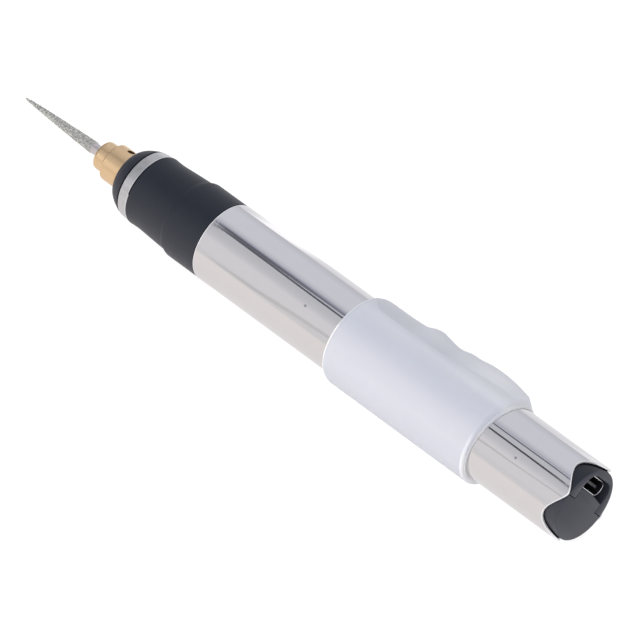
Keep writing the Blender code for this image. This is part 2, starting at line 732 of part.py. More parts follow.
def shell_cutters():
    """What both halves of the inner shell leave room for."""
    bore = SHELL_BORE
    board_low, board_high = switch_board_range()
    board_bite = (
        SHELL_WALL_END - SWITCH_BOARD_END_BITE - RUN_GAP,
        FRONT_BULKHEAD_START + SWITCH_BOARD_END_BITE + RUN_GAP,
    )
    bays = [
        rod(SHELL_WALL_END, FRONT_BULKHEAD_START, bore, INNER_SIDES),
        rod(FRONT_BULKHEAD_END, REAR_BULKHEAD_START, bore, INNER_SIDES),
        rod(REAR_BULKHEAD_END, PLUG_START, bore, INNER_SIDES),
    ]
    slots = []
    for side in (-1, 1):
        faces = sorted((side * SLOT_FLOOR, side * (SHELL_RADIUS + OVERRUN)))
        along = (SHELL_START - OVERRUN, REAR_BULKHEAD_END + SLOT_RUN_OUT)
        slots.append(box(along, faces, (-SLOT_WIDTH / 2, SLOT_WIDTH / 2)))
    room = board_low - RUN_GAP, board_high + RUN_GAP
    board_slot = button_block(board_bite, SWITCH_BOARD_WIDTH + 2 * RUN_GAP, room)
    front_port = rod(SHELL_START - OVERRUN, SHELL_WALL_END + OVERRUN, LEAD_PORT_RADIUS)
    rear_port = rod(REAR_BULKHEAD_START - OVERRUN, REAR_BULKHEAD_END + OVERRUN, LEAD_PORT_RADIUS)
    move(front_port, Vector((0, -LEAD_PORT_PLACE, 0)))
    move(rear_port, Vector((0, -LEAD_PORT_PLACE, 0)))
    tab_port = rod(FRONT_BULKHEAD_START - OVERRUN, FRONT_BULKHEAD_END + OVERRUN, LEAD_PORT_RADIUS)
    motor_port = rod(SHELL_START - OVERRUN, SHELL_WALL_END + OVERRUN, LEAD_PORT_RADIUS)
    for port in (tab_port, motor_port):
        move(port, Vector((0, TAB_PORT_SIDE, -TAB_PORT_DEPTH)))
    return [*bays, *slots, board_slot, front_port, rear_port, tab_port, motor_port]


def make_shell_lower(root):
    """The lower half of the inner shell, with the board's posts and the block under the port."""
    gap = JOINT_GAP / 2
    half = BLOCK_HALF_WIDTH
    outline = half_disc(SHELL_RADIUS, gap, -1)
    outline += [(-half, -gap), (-half, BLOCK_HEIGHT), (half, BLOCK_HEIGHT), (half, -gap)]
    shell = add_piece("chassis_lower", prism(outline, SHELL_START, PEN_LENGTH), "plug", root)
    reach = SHELL_RADIUS + OVERRUN
    cut(shell, box((SHELL_START - OVERRUN, PLUG_START), (-reach, reach), (-gap, reach)))
    cut(shell, *shell_cutters())
    board_low = BOARD_TOP - BOARD_THICKNESS
    for side in (-1, 1):
        post = rod(-POST_ROOT, board_low - SEAT_GAP, POST_RADIUS)
        floor = board_low - BOARD_SCREW_LENGTH - OVERRUN
        pilot = rod(floor, board_low + OVERRUN, BOARD_SCREW_RADIUS + RUN_GAP)
        weld(shell, upright(post, POST_PLACE, side * POST_SIDE_PLACE))
        cut(shell, upright(pilot, POST_PLACE, side * POST_SIDE_PLACE))
    return shell


def upright(maker, x, y):
    """Turns a shape drawn along x so that it stands along z at a place."""
    turn = Matrix(((0, 0, -1, x), (0, 1, 0, y), (1, 0, 0, 0), (0, 0, 0, 1)))
    bmesh.ops.transform(maker, matrix=turn, verts=maker.verts)
    return maker


def notch_outline():
    """The port's pocket in the upper half: straight sides and rounded upper corners."""
    half = BLOCK_HALF_WIDTH + JOINT_GAP
    centre_y = half - NOTCH_CORNER
    centre_z = NOTCH_TOP - NOTCH_CORNER
    points = [(-half, -OVERRUN), (half, -OVERRUN)]
    for step in range(NOTCH_CORNER_STEPS + 1):
        angle = pi / 2 * step / NOTCH_CORNER_STEPS
        points.append((centre_y + NOTCH_CORNER * cos(angle), centre_z + NOTCH_CORNER * sin(angle)))
    for step in range(NOTCH_CORNER_STEPS + 1):
        angle = pi / 2 + pi / 2 * step / NOTCH_CORNER_STEPS
        points.append((-centre_y + NOTCH_CORNER * cos(angle), centre_z + NOTCH_CORNER * sin(angle)))
    return points


def make_shell_upper(root):
    """The upper half, with the port's pocket, the button's well and the lens's hole."""
    gap = JOINT_GAP / 2
    body = prism(half_disc(SHELL_RADIUS, gap, 1), SHELL_START, PEN_LENGTH)
    shell = add_piece("chassis_upper", body, "plug", root)
    cut(shell, *shell_cutters())
    cut(shell, prism(notch_outline(), PLUG_START - OVERRUN, PEN_LENGTH + OVERRUN))
    hole = rod(BUTTON_FLANGE_TOP, SHELL_RADIUS + OVERRUN, BUTTON_RADIUS + BUTTON_HOLE_GAP, INNER_SIDES)
    well_radius = BUTTON_RADIUS + BUTTON_FLANGE + BUTTON_HOLE_GAP
    well_top = BUTTON_FLANGE_TOP + SEAT_GAP
    well = rod(well_top - BUTTON_WELL_DEPTH, well_top, well_radius, INNER_SIDES)
    lens_hole = rod(LENS_SHOULDER_TOP, SHELL_RADIUS + OVERRUN, LENS_RADIUS + RUN_GAP)
    cut(shell, radial(hole, BUTTON_PLACE, BUTTON_ANGLE))
    cut(shell, radial(well, BUTTON_PLACE, BUTTON_ANGLE))
    cut(shell, radial(lens_hole, LAMP_PLACE, BUTTON_ANGLE))
    return shell


def make_motor_can(root):
    """The drawn can with its front boss."""
    bore = BUSH_RADIUS + RUN_GAP
    front = MOTOR_START - BOSS_LENGTH
    inner = MOTOR_RADIUS - CAN_WALL
    profile = [
        (front, bore),
        (front, BOSS_RADIUS),
        (MOTOR_START, BOSS_RADIUS),
        (MOTOR_START, MOTOR_RADIUS),
        (MOTOR_END, MOTOR_RADIUS),
        (MOTOR_END, inner),
        (MOTOR_START + CAN_WALL, inner),
        (MOTOR_START + CAN_WALL, bore),
    ]
    can = add_piece("motor_can", spin_profile(profile, INNER_SIDES), "steel", root)
    for side in (-1, 1):
        hole = rod(MOTOR_START - OVERRUN, MOTOR_START + OVERRUN, MOTOR_SCREW_RADIUS + RUN_GAP)
        cut(can, move(hole, Vector((0, side * MOTOR_SCREW_PLACE, 0))))
    return can


def cap_places():
    """Along the motor's end cap: plug start, flange start, flange end, boss end."""
    flange = MOTOR_END + SEAT_GAP
    flange_end = flange + CAP_FLANGE_LENGTH
    return flange - CAP_PLUG_LENGTH, flange, flange_end, flange_end + CAP_BOSS_LENGTH


def make_end_cap(root):
    """The plastic end cap with the rear bearing's boss and a slot for each terminal."""
    plug, flange, flange_end, boss_end = cap_places()
    bore = BUSH_RADIUS + RUN_GAP
    plug_radius = MOTOR_RADIUS - CAN_WALL - RUN_GAP
    profile = [
        (plug, bore),
        (plug, plug_radius),
        (flange, plug_radius),
        (flange, MOTOR_RADIUS),
        (flange_end, MOTOR_RADIUS),
        (flange_end, BOSS_RADIUS),
        (boss_end, BOSS_RADIUS),
        (boss_end, SHAFT_RADIUS),
        (boss_end - CAP_END_WALL, SHAFT_RADIUS),
        (boss_end - CAP_END_WALL, bore),
    ]
    cap = add_piece("motor_end_cap", spin_profile(profile, INNER_SIDES), "nylon", root)
    for side in (-1, 1):
        cut(cap, terminal_block(side, RUN_GAP, (plug - OVERRUN, flange_end + OVERRUN)))
    return cap


def terminal_block(side, grow, x_range):
    """One terminal tab, or the slot round it."""
    half = TERMINAL_THICKNESS / 2 + grow
    width = TERMINAL_WIDTH / 2 + grow
    middle = side * TERMINAL_PLACE
    return box(x_range, (middle - half, middle + half), (-width, width))


def make_terminals(root):
    """Two tabs through the end cap."""
    plug, _, flange_end, _ = cap_places()
    reach = (plug, flange_end + TERMINAL_REACH)
    tabs = [terminal_block(side, 0, reach) for side in (-1, 1)]
    return add_set("motor_terminal", tabs, "copper", root)


def make_bushes(root):
    """The front and the rear plain bearing."""
    bore = SHAFT_RADIUS + RUN_GAP
    boss_end = cap_places()[3]
    rear_end = boss_end - CAP_END_WALL - SEAT_GAP
    bushes = []
    for start in (MOTOR_START - BOSS_LENGTH, rear_end - BUSH_LENGTH):
        end = start + BUSH_LENGTH
        ring = [(start, bore), (start, BUSH_RADIUS), (end, BUSH_RADIUS), (end, bore)]
        bushes.append(spin_profile(ring, SMALL_SIDES))
    return add_set("motor_bush", bushes, "bronze", root)


def make_shaft(spindle):
    """The motor's shaft, from inside the chuck to the rear bearing."""
    start = BURR_LENGTH + SEAT_GAP + CHUCK_WEB + SEAT_GAP
    end = cap_places()[3] - CAP_END_WALL - SEAT_GAP
    return add_piece("motor_shaft", rod(start, end, SHAFT_RADIUS, SMALL_SIDES), "steel", spindle)


def pole_outline():
    """The core's section: a hub and three poles with wide shoes."""
    shoe_inner = CORE_RADIUS - POLE_SHOE
    half_neck = POLE_NECK / 2
    neck_top = asin(half_neck / shoe_inner)
    neck_foot = asin(half_neck / CORE_HUB_RADIUS)
    points = []
    for pole in range(POLE_COUNT):
        middle = tau * pole / POLE_COUNT
        low = middle - POLE_SPAN / 2
        turns = [(CORE_HUB_RADIUS, middle - neck_foot), (shoe_inner, middle - neck_top), (shoe_inner, low)]
        turns += [(CORE_RADIUS, low + POLE_SPAN * k / POLE_STEPS) for k in range(POLE_STEPS + 1)]
        turns += [(shoe_inner, middle + POLE_SPAN / 2), (shoe_inner, middle + neck_top)]
        turns += [(CORE_HUB_RADIUS, middle + neck_foot)]
        points += [(radius * cos(angle), radius * sin(angle)) for radius, angle in turns]
    return points


def make_core(spindle):
    """The laminated core on the shaft."""
    body = prism(pole_outline(), CORE_START, CORE_START + CORE_LENGTH)
    core = add_piece("rotor_core", body, "dark_steel", spindle)
    reach = (CORE_START - OVERRUN, CORE_START + CORE_LENGTH + OVERRUN)
    return cut(core, rod(*reach, SHAFT_RADIUS + RUN_GAP, SMALL_SIDES))


def coil(angle):
    """One winding: a rectangular band round a pole's neck."""
    inner_width = POLE_NECK / 2 + COIL_GAP
    outer_width = inner_width + COIL_WIDTH
    inner_start = CORE_START - COIL_GAP
    inner_end = CORE_START + CORE_LENGTH + COIL_GAP
    low = CORE_HUB_RADIUS + COIL_GAP
    high = low + COIL_HEIGHT
    outward = Vector((0, cos(angle), sin(angle)))
    across = Vector((0, -sin(angle), cos(angle)))
    maker = bmesh.new()
    loops = []
    for start, end, width in (
        (inner_start - COIL_WIDTH, inner_end + COIL_WIDTH, outer_width),
        (inner_start, inner_end, inner_width),
    ):
        for height in (low, high):
            corners = ((start, -width), (end, -width), (end, width), (start, width))
            places = [Vector((x, 0, 0)) + across * side + outward * height for x, side in corners]
            loops.append([maker.verts.new(place) for place in places])
    loops[2], loops[3] = loops[3], loops[2]
    for first, second in zip(loops, loops[1:] + loops[:1]):
        for k in range(len(first)):
            after = (k + 1) % len(first)
            maker.faces.new((first[k], first[after], second[after], second[k]))
    return maker


def make_windings(spindle):
    """A coil on each pole."""
    coils = [coil(tau * pole / POLE_COUNT) for pole in range(POLE_COUNT)]
    return add_set("rotor_winding", coils, "copper", spindle)


def make_commutator(spindle):
    """The insulating hub and the three segments round it."""
    end = COMMUTATOR_START + COMMUTATOR_LENGTH
    bore = SHAFT_RADIUS + RUN_GAP
    segment_bore = COMMUTATOR_RADIUS - COMMUTATOR_WALL
    hub_radius = segment_bore - RUN_GAP
    ring = [(COMMUTATOR_START, bore), (COMMUTATOR_START, hub_radius), (end, hub_radius), (end, bore)]
    add_piece("commutator_hub", spin_profile(ring, SMALL_SIDES), "nylon", spindle)
    reach = (COMMUTATOR_START, end)
    radii = (segment_bore, COMMUTATOR_RADIUS)
    middles = [tau * pole / POLE_COUNT for pole in range(POLE_COUNT)]
    segments = [arc_piece(reach, *radii, middle, SEGMENT_SPAN, SEGMENT_STEPS) for middle in middles]
    add_set("commutator_segment", segments, "copper", spindle)


def make_magnets(root):
    """Two arc magnets inside the can."""
    outer = MOTOR_RADIUS - CAN_WALL - COIL_GAP
    inner = outer - MAGNET_WALL
    reach = (MAGNET_START, MAGNET_START + MAGNET_LENGTH)
    arcs = [arc_piece(reach, inner, outer, side * pi / 2, MAGNET_SPAN, MAGNET_STEPS) for side in (-1, 1)]
    return add_set("motor_magnet", arcs, "magnet", root)


def make_brushes(root):
    """Two brushes, each a carbon block on a leaf arm."""
    half = BRUSH_WIDTH / 2
    plug = cap_places()[0]
    arm_end = plug - SEAT_GAP
    arm_start = arm_end - BRUSH_ARM_LENGTH
    block_start = arm_start + RUN_GAP
    block_end = block_start + BRUSH_LENGTH
    foot = COMMUTATOR_RADIUS + RUN_GAP
    top = foot + BRUSH_HEIGHT
    brushes = []
    for side in (-1, 1):
        outline = [
            (block_start, foot),
            (block_end, foot),
            (block_end, top),
            (arm_end, top),
            (arm_end, top + BRUSH_ARM_WALL),
            (arm_start, top + BRUSH_ARM_WALL),
            (arm_start, top),
            (block_start, top),
        ]
        outline = [(x, side * y) for x, y in outline]
        across = (Vector((1, 0, 0)), Vector((0, 1, 0)))
        brushes.append(prism(outline, -half, half, direction=Vector((0, 0, 1)), across=across))
    return add_set("motor_brush", brushes, "carbon", root)


def make_motor_screws(root):
    """Two screws through the nose's bulkhead into the motor's face."""
    head_end = BULKHEAD_START - RUN_GAP
    head_start = head_end - MOTOR_SCREW_HEAD
    end = MOTOR_START + CAN_WALL + SEAT_GAP
    screws = []
    for side in (-1, 1):
        profile = [
            (head_start, 0),
            (head_start, MOTOR_SCREW_HEAD_RADIUS),
            (head_end, MOTOR_SCREW_HEAD_RADIUS),
            (head_end, MOTOR_SCREW_RADIUS),
            (end, MOTOR_SCREW_RADIUS),
            (end, 0),
        ]
        screws.append(move(spin_profile(profile, SCREW_SIDES), Vector((0, side * MOTOR_SCREW_PLACE, 0))))
    return add_set("motor_screw", screws, "dark_steel", root)


def make_battery(root):
    """The wrapped cell, its positive cap and the two tabs."""
    end = CELL_START + CELL_LENGTH
    profile = [
        (CELL_START, 0),
        (CELL_START, CELL_RADIUS - CELL_EDGE),
        (CELL_START + CELL_EDGE, CELL_RADIUS),
        (end - CELL_EDGE, CELL_RADIUS),
        (end, CELL_RADIUS - CELL_EDGE),
        (end, 0),
    ]
    add_piece("battery_cell", spin_profile(profile, INNER_SIDES), "wrap", root)
    cap = rod(CELL_CAP_START, CELL_CAP_START + CELL_CAP_HEIGHT, CELL_CAP_RADIUS, SMALL_SIDES)
    add_piece("battery_cap", cap, "steel", root)
    half = TAB_WIDTH / 2
    tabs = []
    for start in (FRONT_TAB_START, REAR_TAB_START):
        tabs.append(box((start, start + TAB_THICKNESS), (-TAB_LENGTH / 2, TAB_LENGTH / 2), (-half, half)))
    add_set("battery_tab", tabs, "steel", root)


def make_charge_board(root):
    """The board behind the port, its parts and its two screws."""
    low, high = BOARD_TOP - BOARD_THICKNESS, BOARD_TOP
    board = box((BOARD_START, BOARD_END), (-BOARD_HALF_WIDTH, BOARD_HALF_WIDTH), (low, high))
    board = add_piece("charge_board", board, "board", root)
    for side in (-1, 1):
        hole = rod(low - OVERRUN, high + OVERRUN, BOARD_SCREW_RADIUS + SEAT_GAP)
        cut(board, upright(hole, POST_PLACE, side * POST_SIDE_PLACE))
    seat = high + RUN_GAP
    half = CHIP_SIZE / 2
    beside = half + CHIP_SPACING
    near = BOARD_START + CHIP_SPACING
    chips = [box((near, near + CHIP_SIZE), (-half, half), (seat, seat + CHIP_HEIGHT))]
    near = POST_PLACE + POST_RADIUS
    far = near + COIL_CAN_SIZE
    chips.append(box((near, far), (beside, beside + COIL_CAN_SIZE), (seat, seat + COIL_CAN_HEIGHT)))
    near += CHIP_SPACING
    for count in range(CAPACITOR_COUNT):
        far = near + CAPACITOR_SIZE
        chips.append(box((near, far), (-beside - CAPACITOR_LENGTH, -beside), (seat, seat + CAPACITOR_SIZE)))
        near = far + CHIP_SPACING
    add_set("board_chip", chips, "chip", root)
    screws = []
    head = high + RUN_GAP
    for side in (-1, 1):
        profile = [
            (high - BOARD_SCREW_LENGTH, 0),
            (high - BOARD_SCREW_LENGTH, BOARD_SCREW_RADIUS),
            (head, BOARD_SCREW_RADIUS),
            (head, BOARD_SCREW_HEAD_RADIUS),
            (head + BOARD_SCREW_HEAD, BOARD_SCREW_HEAD_RADIUS),
            (head + BOARD_SCREW_HEAD, 0),
        ]
        screws.append(upright(spin_profile(profile, SCREW_SIDES), POST_PLACE, side * POST_SIDE_PLACE))
    add_set("board_screw", screws, "dark_steel", root)


def stadium(inset):
    """The port's outline, set in by a margin: flat top and bottom, round ends."""
    straight = (PORT_WIDTH - PORT_HEIGHT) / 2
    radius = PORT_HEIGHT / 2 - inset
    points = []
    for side, start in ((1, -pi / 2), (-1, pi / 2)):
        for step in range(PORT_CORNER_STEPS + 1):
            angle = start + pi * step / PORT_CORNER_STEPS
            points.append((side * straight + radius * cos(angle), PORT_HEIGHT_PLACE + radius * sin(angle)))
    return points


def make_port(root):
    """The port's shell and the tongue inside it."""
    mouth = PEN_LENGTH - PORT_RECESS
    back = mouth - PORT_LENGTH
    outer = stadium(0)
    inner = stadium(PORT_WALL)
    maker = bmesh.new()
    loops = []
    for outline, x in ((outer, back), (outer, mouth), (inner, mouth), (inner, back)):
        loops.append([maker.verts.new((x, y, z)) for y, z in outline])
    for first, second in zip(loops, loops[1:] + loops[:1]):
        for k in range(len(first)):
            after = (k + 1) % len(first)
            maker.faces.new((first[k], first[after], second[after], second[k]))
    add_piece("usb_shell", maker, "steel", root)
    base = prism(stadium(PORT_WALL + RUN_GAP), back, back + TONGUE_BASE_LENGTH)
    tongue = add_piece("usb_tongue", base, "chip", root)
    half_width = TONGUE_WIDTH / 2
    half_height = TONGUE_THICKNESS / 2
    plate = box(
        (back + TONGUE_BASE_LENGTH / 2, mouth - TONGUE_RECESS),
        (-half_width, half_width),
        (PORT_HEIGHT_PLACE - half_height, PORT_HEIGHT_PLACE + half_height),
    )
    weld(tongue, plate)


def make_switch(root, carrier):
    """The switch board, the tact switch, the lamp and its lens, then the plunger and the button."""
    low, high = switch_board_range()
    reach = (SHELL_WALL_END - SWITCH_BOARD_END_BITE, FRONT_BULKHEAD_START + SWITCH_BOARD_END_BITE)
    add_piece("switch_board", button_block(reach, SWITCH_BOARD_WIDTH, (low, high)), "board", root)
    seat = high + RUN_GAP
    half = SWITCH_SIZE / 2
    body = button_block((BUTTON_PLACE - half, BUTTON_PLACE + half), SWITCH_SIZE, (seat, seat + SWITCH_HEIGHT))
    base = add_piece("switch_base", body, "chip", root)
    bore = rod(seat + SWITCH_FLOOR, seat + SWITCH_HEIGHT + OVERRUN, PLUNGER_RADIUS + RUN_GAP)
    cut(base, radial(bore, BUTTON_PLACE, BUTTON_ANGLE))
    lamp_half = LAMP_LENGTH / 2
    lamp_range = (LAMP_PLACE - lamp_half, LAMP_PLACE + lamp_half)
    add_piece("status_led", button_block(lamp_range, LAMP_WIDTH, (seat, seat + LAMP_HEIGHT)), "lens", root)
    shoulder_low = LENS_SHOULDER_TOP - LENS_SHOULDER_THICKNESS
    lens = [
        (seat + LAMP_HEIGHT + SEAT_GAP, 0),
        (seat + LAMP_HEIGHT + SEAT_GAP, LENS_RADIUS),
        (shoulder_low, LENS_RADIUS),
        (shoulder_low, LENS_SHOULDER_RADIUS),
        (LENS_SHOULDER_TOP, LENS_SHOULDER_RADIUS),
        (LENS_SHOULDER_TOP, LENS_RADIUS),
        (TUBE_RADIUS + LENS_PROUD, LENS_RADIUS),
        (TUBE_RADIUS + LENS_PROUD, 0),
    ]
    add_piece("led_lens", radial(spin_profile(lens, SCREW_SIDES), LAMP_PLACE, BUTTON_ANGLE), "lens", root)
    flange_low = BUTTON_FLANGE_TOP - BUTTON_FLANGE_THICKNESS
    plunger_top = flange_low - RUN_GAP
    plunger = rod(plunger_top - PLUNGER_LENGTH, plunger_top, PLUNGER_RADIUS)
    add_piece("switch_plunger", radial(plunger, BUTTON_PLACE, BUTTON_ANGLE), "nylon", carrier)
    cap = [
        (flange_low, 0),
        (flange_low, BUTTON_RADIUS + BUTTON_FLANGE),
        (BUTTON_FLANGE_TOP, BUTTON_RADIUS + BUTTON_FLANGE),
        (BUTTON_FLANGE_TOP, BUTTON_RADIUS),
        (BUTTON_TOP - BUTTON_EDGE, BUTTON_RADIUS),
        (BUTTON_TOP, BUTTON_RADIUS - BUTTON_EDGE),
        (BUTTON_TOP, 0),
    ]
    cap = radial(spin_profile(cap, INNER_SIDES), BUTTON_PLACE, BUTTON_ANGLE)
    add_piece("button_cap", cap, "black", carrier)


def smooth_route(points):
    """A smooth curve through a lead's points."""
    padded = [points[0], *points, points[-1]]
    route = []
    for k in range(1, len(padded) - 2):
        before, start, end, after = (Vector(point) for point in padded[k - 1 : k + 3])
        leave = start + (end - before) * LEAD_HANDLE_SHARE
        arrive = end - (after - start) * LEAD_HANDLE_SHARE
        route += interpolate_bezier(start, leave, arrive, end, LEAD_SMOOTH + 1)[:-1]
    route.append(Vector(points[-1]))
    return route


def make_lead(name, points, finish, root):
    """One insulated lead along a route."""
    curve = bpy.data.curves.new(name, "CURVE")
    curve.dimensions = "3D"
    curve.bevel_depth = LEAD_RADIUS
    curve.bevel_resolution = LEAD_RESOLUTION
    curve.use_fill_caps = True
    route = smooth_route(points)
    spline = curve.splines.new("POLY")
    spline.points.add(len(route) - 1)
    for point, place in zip(spline.points, route):
        point.co = (*place, 1)
    curve.materials.append(finish_for(name, finish))
    made = bpy.data.objects.new(name, curve)
    bpy.context.collection.objects.link(made)
    made.parent = root
    return made


def make_leads(root):
    """The motor's, the battery's and the switch board's leads."""
    flange_end = cap_places()[2]
    beside = TERMINAL_WIDTH / 2 + LEAD_RADIUS + RUN_GAP
    for name, finish, terminal, port in (
        ("wire_motor_red", "red", TERMINAL_PLACE, (TAB_PORT_SIDE, -TAB_PORT_DEPTH)),
        ("wire_motor_black", "dark", -TERMINAL_PLACE, (-LEAD_PORT_PLACE, 0)),
    ):
        points = [
            (flange_end + LEAD_BEND / 2, terminal, -beside),
            (SHELL_START - LEAD_BEND, terminal, -beside),
            (SHELL_START, *port),
            (SHELL_WALL_END, *port),
            (SHELL_WALL_END + LEAD_BEND, port[0], port[1] - LEAD_RADIUS),
            (BUTTON_PLACE - LEAD_BEND, port[0] / 2, -TAB_PORT_DEPTH),
        ]
        make_lead(name, points, finish, root)
    under = BOARD_TOP - BOARD_THICKNESS - SEAT_GAP - LEAD_RADIUS
    inward = SHELL_BORE - LEAD_TURN
    rear_stretch = [
        (REAR_BULKHEAD_END, SLOT_PLACE, 0),
        (REAR_BULKHEAD_END + LEAD_TURN, SHELL_BORE - LEAD_BEND, 0),
        (LEAD_JOINT_PLACE, inward, under),
    ]
    turn = FRONT_BULKHEAD_START - LEAD_BEND
    black = [
        (FRONT_BULKHEAD_END - LEAD_RADIUS / 2, TAB_PORT_SIDE, -TAB_PORT_DEPTH),
        (FRONT_BULKHEAD_START, TAB_PORT_SIDE, -TAB_PORT_DEPTH),
        (turn - LEAD_BEND / 2, inward, -TAB_PORT_DEPTH / 2),
        (turn - LEAD_BEND, SHELL_BORE - LEAD_BEND, 0),
        (turn, SLOT_PLACE - LEAD_RADIUS / 2, 0),
        (FRONT_BULKHEAD_START + LEAD_BEND, SLOT_PLACE, 0),
        ((FRONT_BULKHEAD_START + REAR_BULKHEAD_END) / 2, SLOT_PLACE, 0),
        *rear_stretch,
    ]
    make_lead("wire_battery_black", black, "dark", root)
    start = SHELL_WALL_END + LEAD_BEND
    red = [
        (start, -inward, -LEAD_BEND),
        (start + LEAD_BEND, LEAD_BEND - SHELL_BORE, 0),
        (start + LEAD_BEND + LEAD_TURN, -SLOT_PLACE, 0),
        ((start + REAR_BULKHEAD_END) / 2, -SLOT_PLACE, 0),
        *((x, -y, z) for x, y, z in rear_stretch),
    ]
    make_lead("wire_switch_red", red, "red", root)
    start = REAR_TAB_START + TAB_THICKNESS + LEAD_RADIUS
    points = [
        (start, -TAB_LENGTH / 2, 0),
        (start + LEAD_BEND, -LEAD_PORT_PLACE, 0),
        (REAR_BULKHEAD_END, -LEAD_PORT_PLACE, 0),
        (BOARD_START + LEAD_BEND / 2, -LEAD_BEND, 0),
        (BOARD_START + LEAD_TURN, -LEAD_BEND / 2, under),
    ]
    make_lead("wire_battery_red", points, "red", root)


def sleeve_reach(sleeve, frame_turn):
    """How far the sleeve reaches to each side, seen along the pen as it lies."""
    sides = [(frame_turn @ point.co).y for point in sleeve.data.vertices]
    return min(sides), max(sides)


def build_pen():
    """The whole pen, rolled and lying on its sleeve."""
    clear_scene()
    frame = add_empty("pen_frame")
    spindle = add_empty("spindle_axis", frame)
    sleeve_carrier = add_empty("sleeve_axis", frame, (SLEEVE_START, 0, 0))
    outward = Vector((0, cos(BUTTON_ANGLE), sin(BUTTON_ANGLE)))
    button_carrier = add_empty("button_axis", frame, Vector((BUTTON_PLACE, 0, 0)) + outward * BUTTON_TOP)
    make_burr(spindle)
    make_chuck(spindle)
    make_chuck_screws(spindle)
    make_nose(frame)
    make_ring(frame)
    make_tube(frame)
    sleeve = make_sleeve(sleeve_carrier)
    make_shell_lower(frame)
    make_shell_upper(frame)
    make_motor_can(frame)
    make_end_cap(frame)
    make_terminals(frame)
    make_bushes(frame)
    make_shaft(spindle)
    make_core(spindle)
    make_windings(spindle)
    make_commutator(spindle)
    make_magnets(frame)
    make_brushes(frame)
    make_motor_screws(frame)
    make_battery(frame)
    make_charge_board(frame)
    make_port(frame)
    make_switch(frame, button_carrier)
    make_leads(frame)
    turn = Matrix.Rotation(-ROLL, 3, "X")
    low, high = sleeve_reach(sleeve, turn)
    frame.rotation_euler.x = -ROLL
    frame.location = (-PEN_LENGTH / 2, -(low + high) / 2, SLEEVE_RADIUS)
    print("pen axis at", tuple(round(value / MM, 4) for value in frame.location), "mm")


build_pen()
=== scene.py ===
# %% [markdown]
# # An engraving pen, finished for the camera
# The pen's solids come in as a fixed frame: each keeps its name, its place and its joint. This lesson gives
# each piece a maker's finish. A piece that shows is drawn again with rounded edges and fine detail, and
# stands in for its solid. A piece that is shut inside keeps its solid and gets a better material.

# %% Load the frame
from functools import cached_property
from math import asin, atan2, cos, pi, radians, sin, sqrt, tau

import bmesh
import bpy
from mathutils import Matrix, Vector


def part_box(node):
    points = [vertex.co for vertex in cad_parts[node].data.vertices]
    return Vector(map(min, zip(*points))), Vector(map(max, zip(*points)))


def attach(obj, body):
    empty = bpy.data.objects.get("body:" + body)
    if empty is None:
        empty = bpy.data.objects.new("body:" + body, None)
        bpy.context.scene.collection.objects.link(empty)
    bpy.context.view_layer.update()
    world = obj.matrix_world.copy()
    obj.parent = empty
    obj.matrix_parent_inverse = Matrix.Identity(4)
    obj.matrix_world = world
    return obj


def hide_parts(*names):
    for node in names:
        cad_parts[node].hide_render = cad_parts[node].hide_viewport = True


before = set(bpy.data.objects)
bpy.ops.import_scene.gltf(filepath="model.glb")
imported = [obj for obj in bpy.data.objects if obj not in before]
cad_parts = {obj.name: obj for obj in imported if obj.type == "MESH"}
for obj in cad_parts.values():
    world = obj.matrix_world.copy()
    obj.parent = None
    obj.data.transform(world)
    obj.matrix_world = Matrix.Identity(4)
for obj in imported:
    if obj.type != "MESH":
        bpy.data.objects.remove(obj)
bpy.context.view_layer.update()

# %% [markdown]
# ## The pen's own frame
# Each piece is drawn in millimetres with x running from the burr's tip to the tail. One matrix then lays it
# on the floor, rolled as the pen lies on its sleeve. It goes into the mesh, so objects stay at the origin.

# %% The matrix that lays the pen down
MM = 0.001
ROLL = radians(56.24)

low, high = (Vector(corner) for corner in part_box("nose_ring"))
axis_place = (low + high) / 2
tip_place = Vector((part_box("diamond_burr")[0][0], axis_place.y, axis_place.z))
PEN = Matrix.Translation(tip_place) @ Matrix.Rotation(-ROLL, 4, "X") @ Matrix.Scale(MM, 4)
print("tip at", [round(value / MM, 3) for value in tip_place], "mm")

# %% Sizes that several steps share, in millimetres
RING_START, RING_END = 35.7, 38.2
TUBE_START, TUBE_END = 59.1, 163.0
TUBE_RADIUS, TUBE_BORE = 9.0, 8.5
RIM_DEPTH, RIM_TONGUES, RIM_POWER = 3.45, 4.0, 0.75
SLEEVE_START, SLEEVE_LENGTH = 97.7, 41.7
SLEEVE_END = SLEEVE_START + SLEEVE_LENGTH
BUTTON_PLACE, LENS_PLACE = 81.8, 86.6
# Each punch mark's place along the barrel and its angle from the near side
PUNCH_PLACES = ((88.6, radians(-3.6)), (148.57, radians(-2.2)))
PUNCH_RADIUS = 0.42
print("barrel", round(TUBE_END - TUBE_START, 1), "mm, sleeve", SLEEVE_LENGTH, "mm")

# %% [markdown]
# ## The camera
# The photograph was taken from above and from the tail end with a long lens, so the pen hardly narrows
# towards its tip. The camera stands on that line, two metres away.

# %% Camera
EYE = Vector((1043.42, -1031.84, 1550.62)) * MM
LOOK_RIGHT = Vector((0.70488, 0.70933, 0.0))
LOOK_UP = Vector((-0.5147, 0.51147, 0.6881))
LENS_LENGTH = 582.8


def placed(name, data):
    """A new object in the scene."""
    made = bpy.data.objects.new(name, data)
    bpy.context.collection.objects.link(made)
    return made


camera = placed("camera", bpy.data.cameras.new("camera"))
camera.data.lens = LENS_LENGTH
camera.data.clip_start = 0.1
camera.data.clip_end = 20
turn = Matrix((LOOK_RIGHT, LOOK_UP, LOOK_RIGHT.cross(LOOK_UP))).transposed()
camera.matrix_world = Matrix.Translation(EYE) @ turn.to_4x4()
bpy.context.scene.camera = camera
bpy.context.scene.view_settings.view_transform = "Standard"
print("camera", round((EYE - PEN @ Vector((87, 0, 0))).length, 3), "m from the pen")

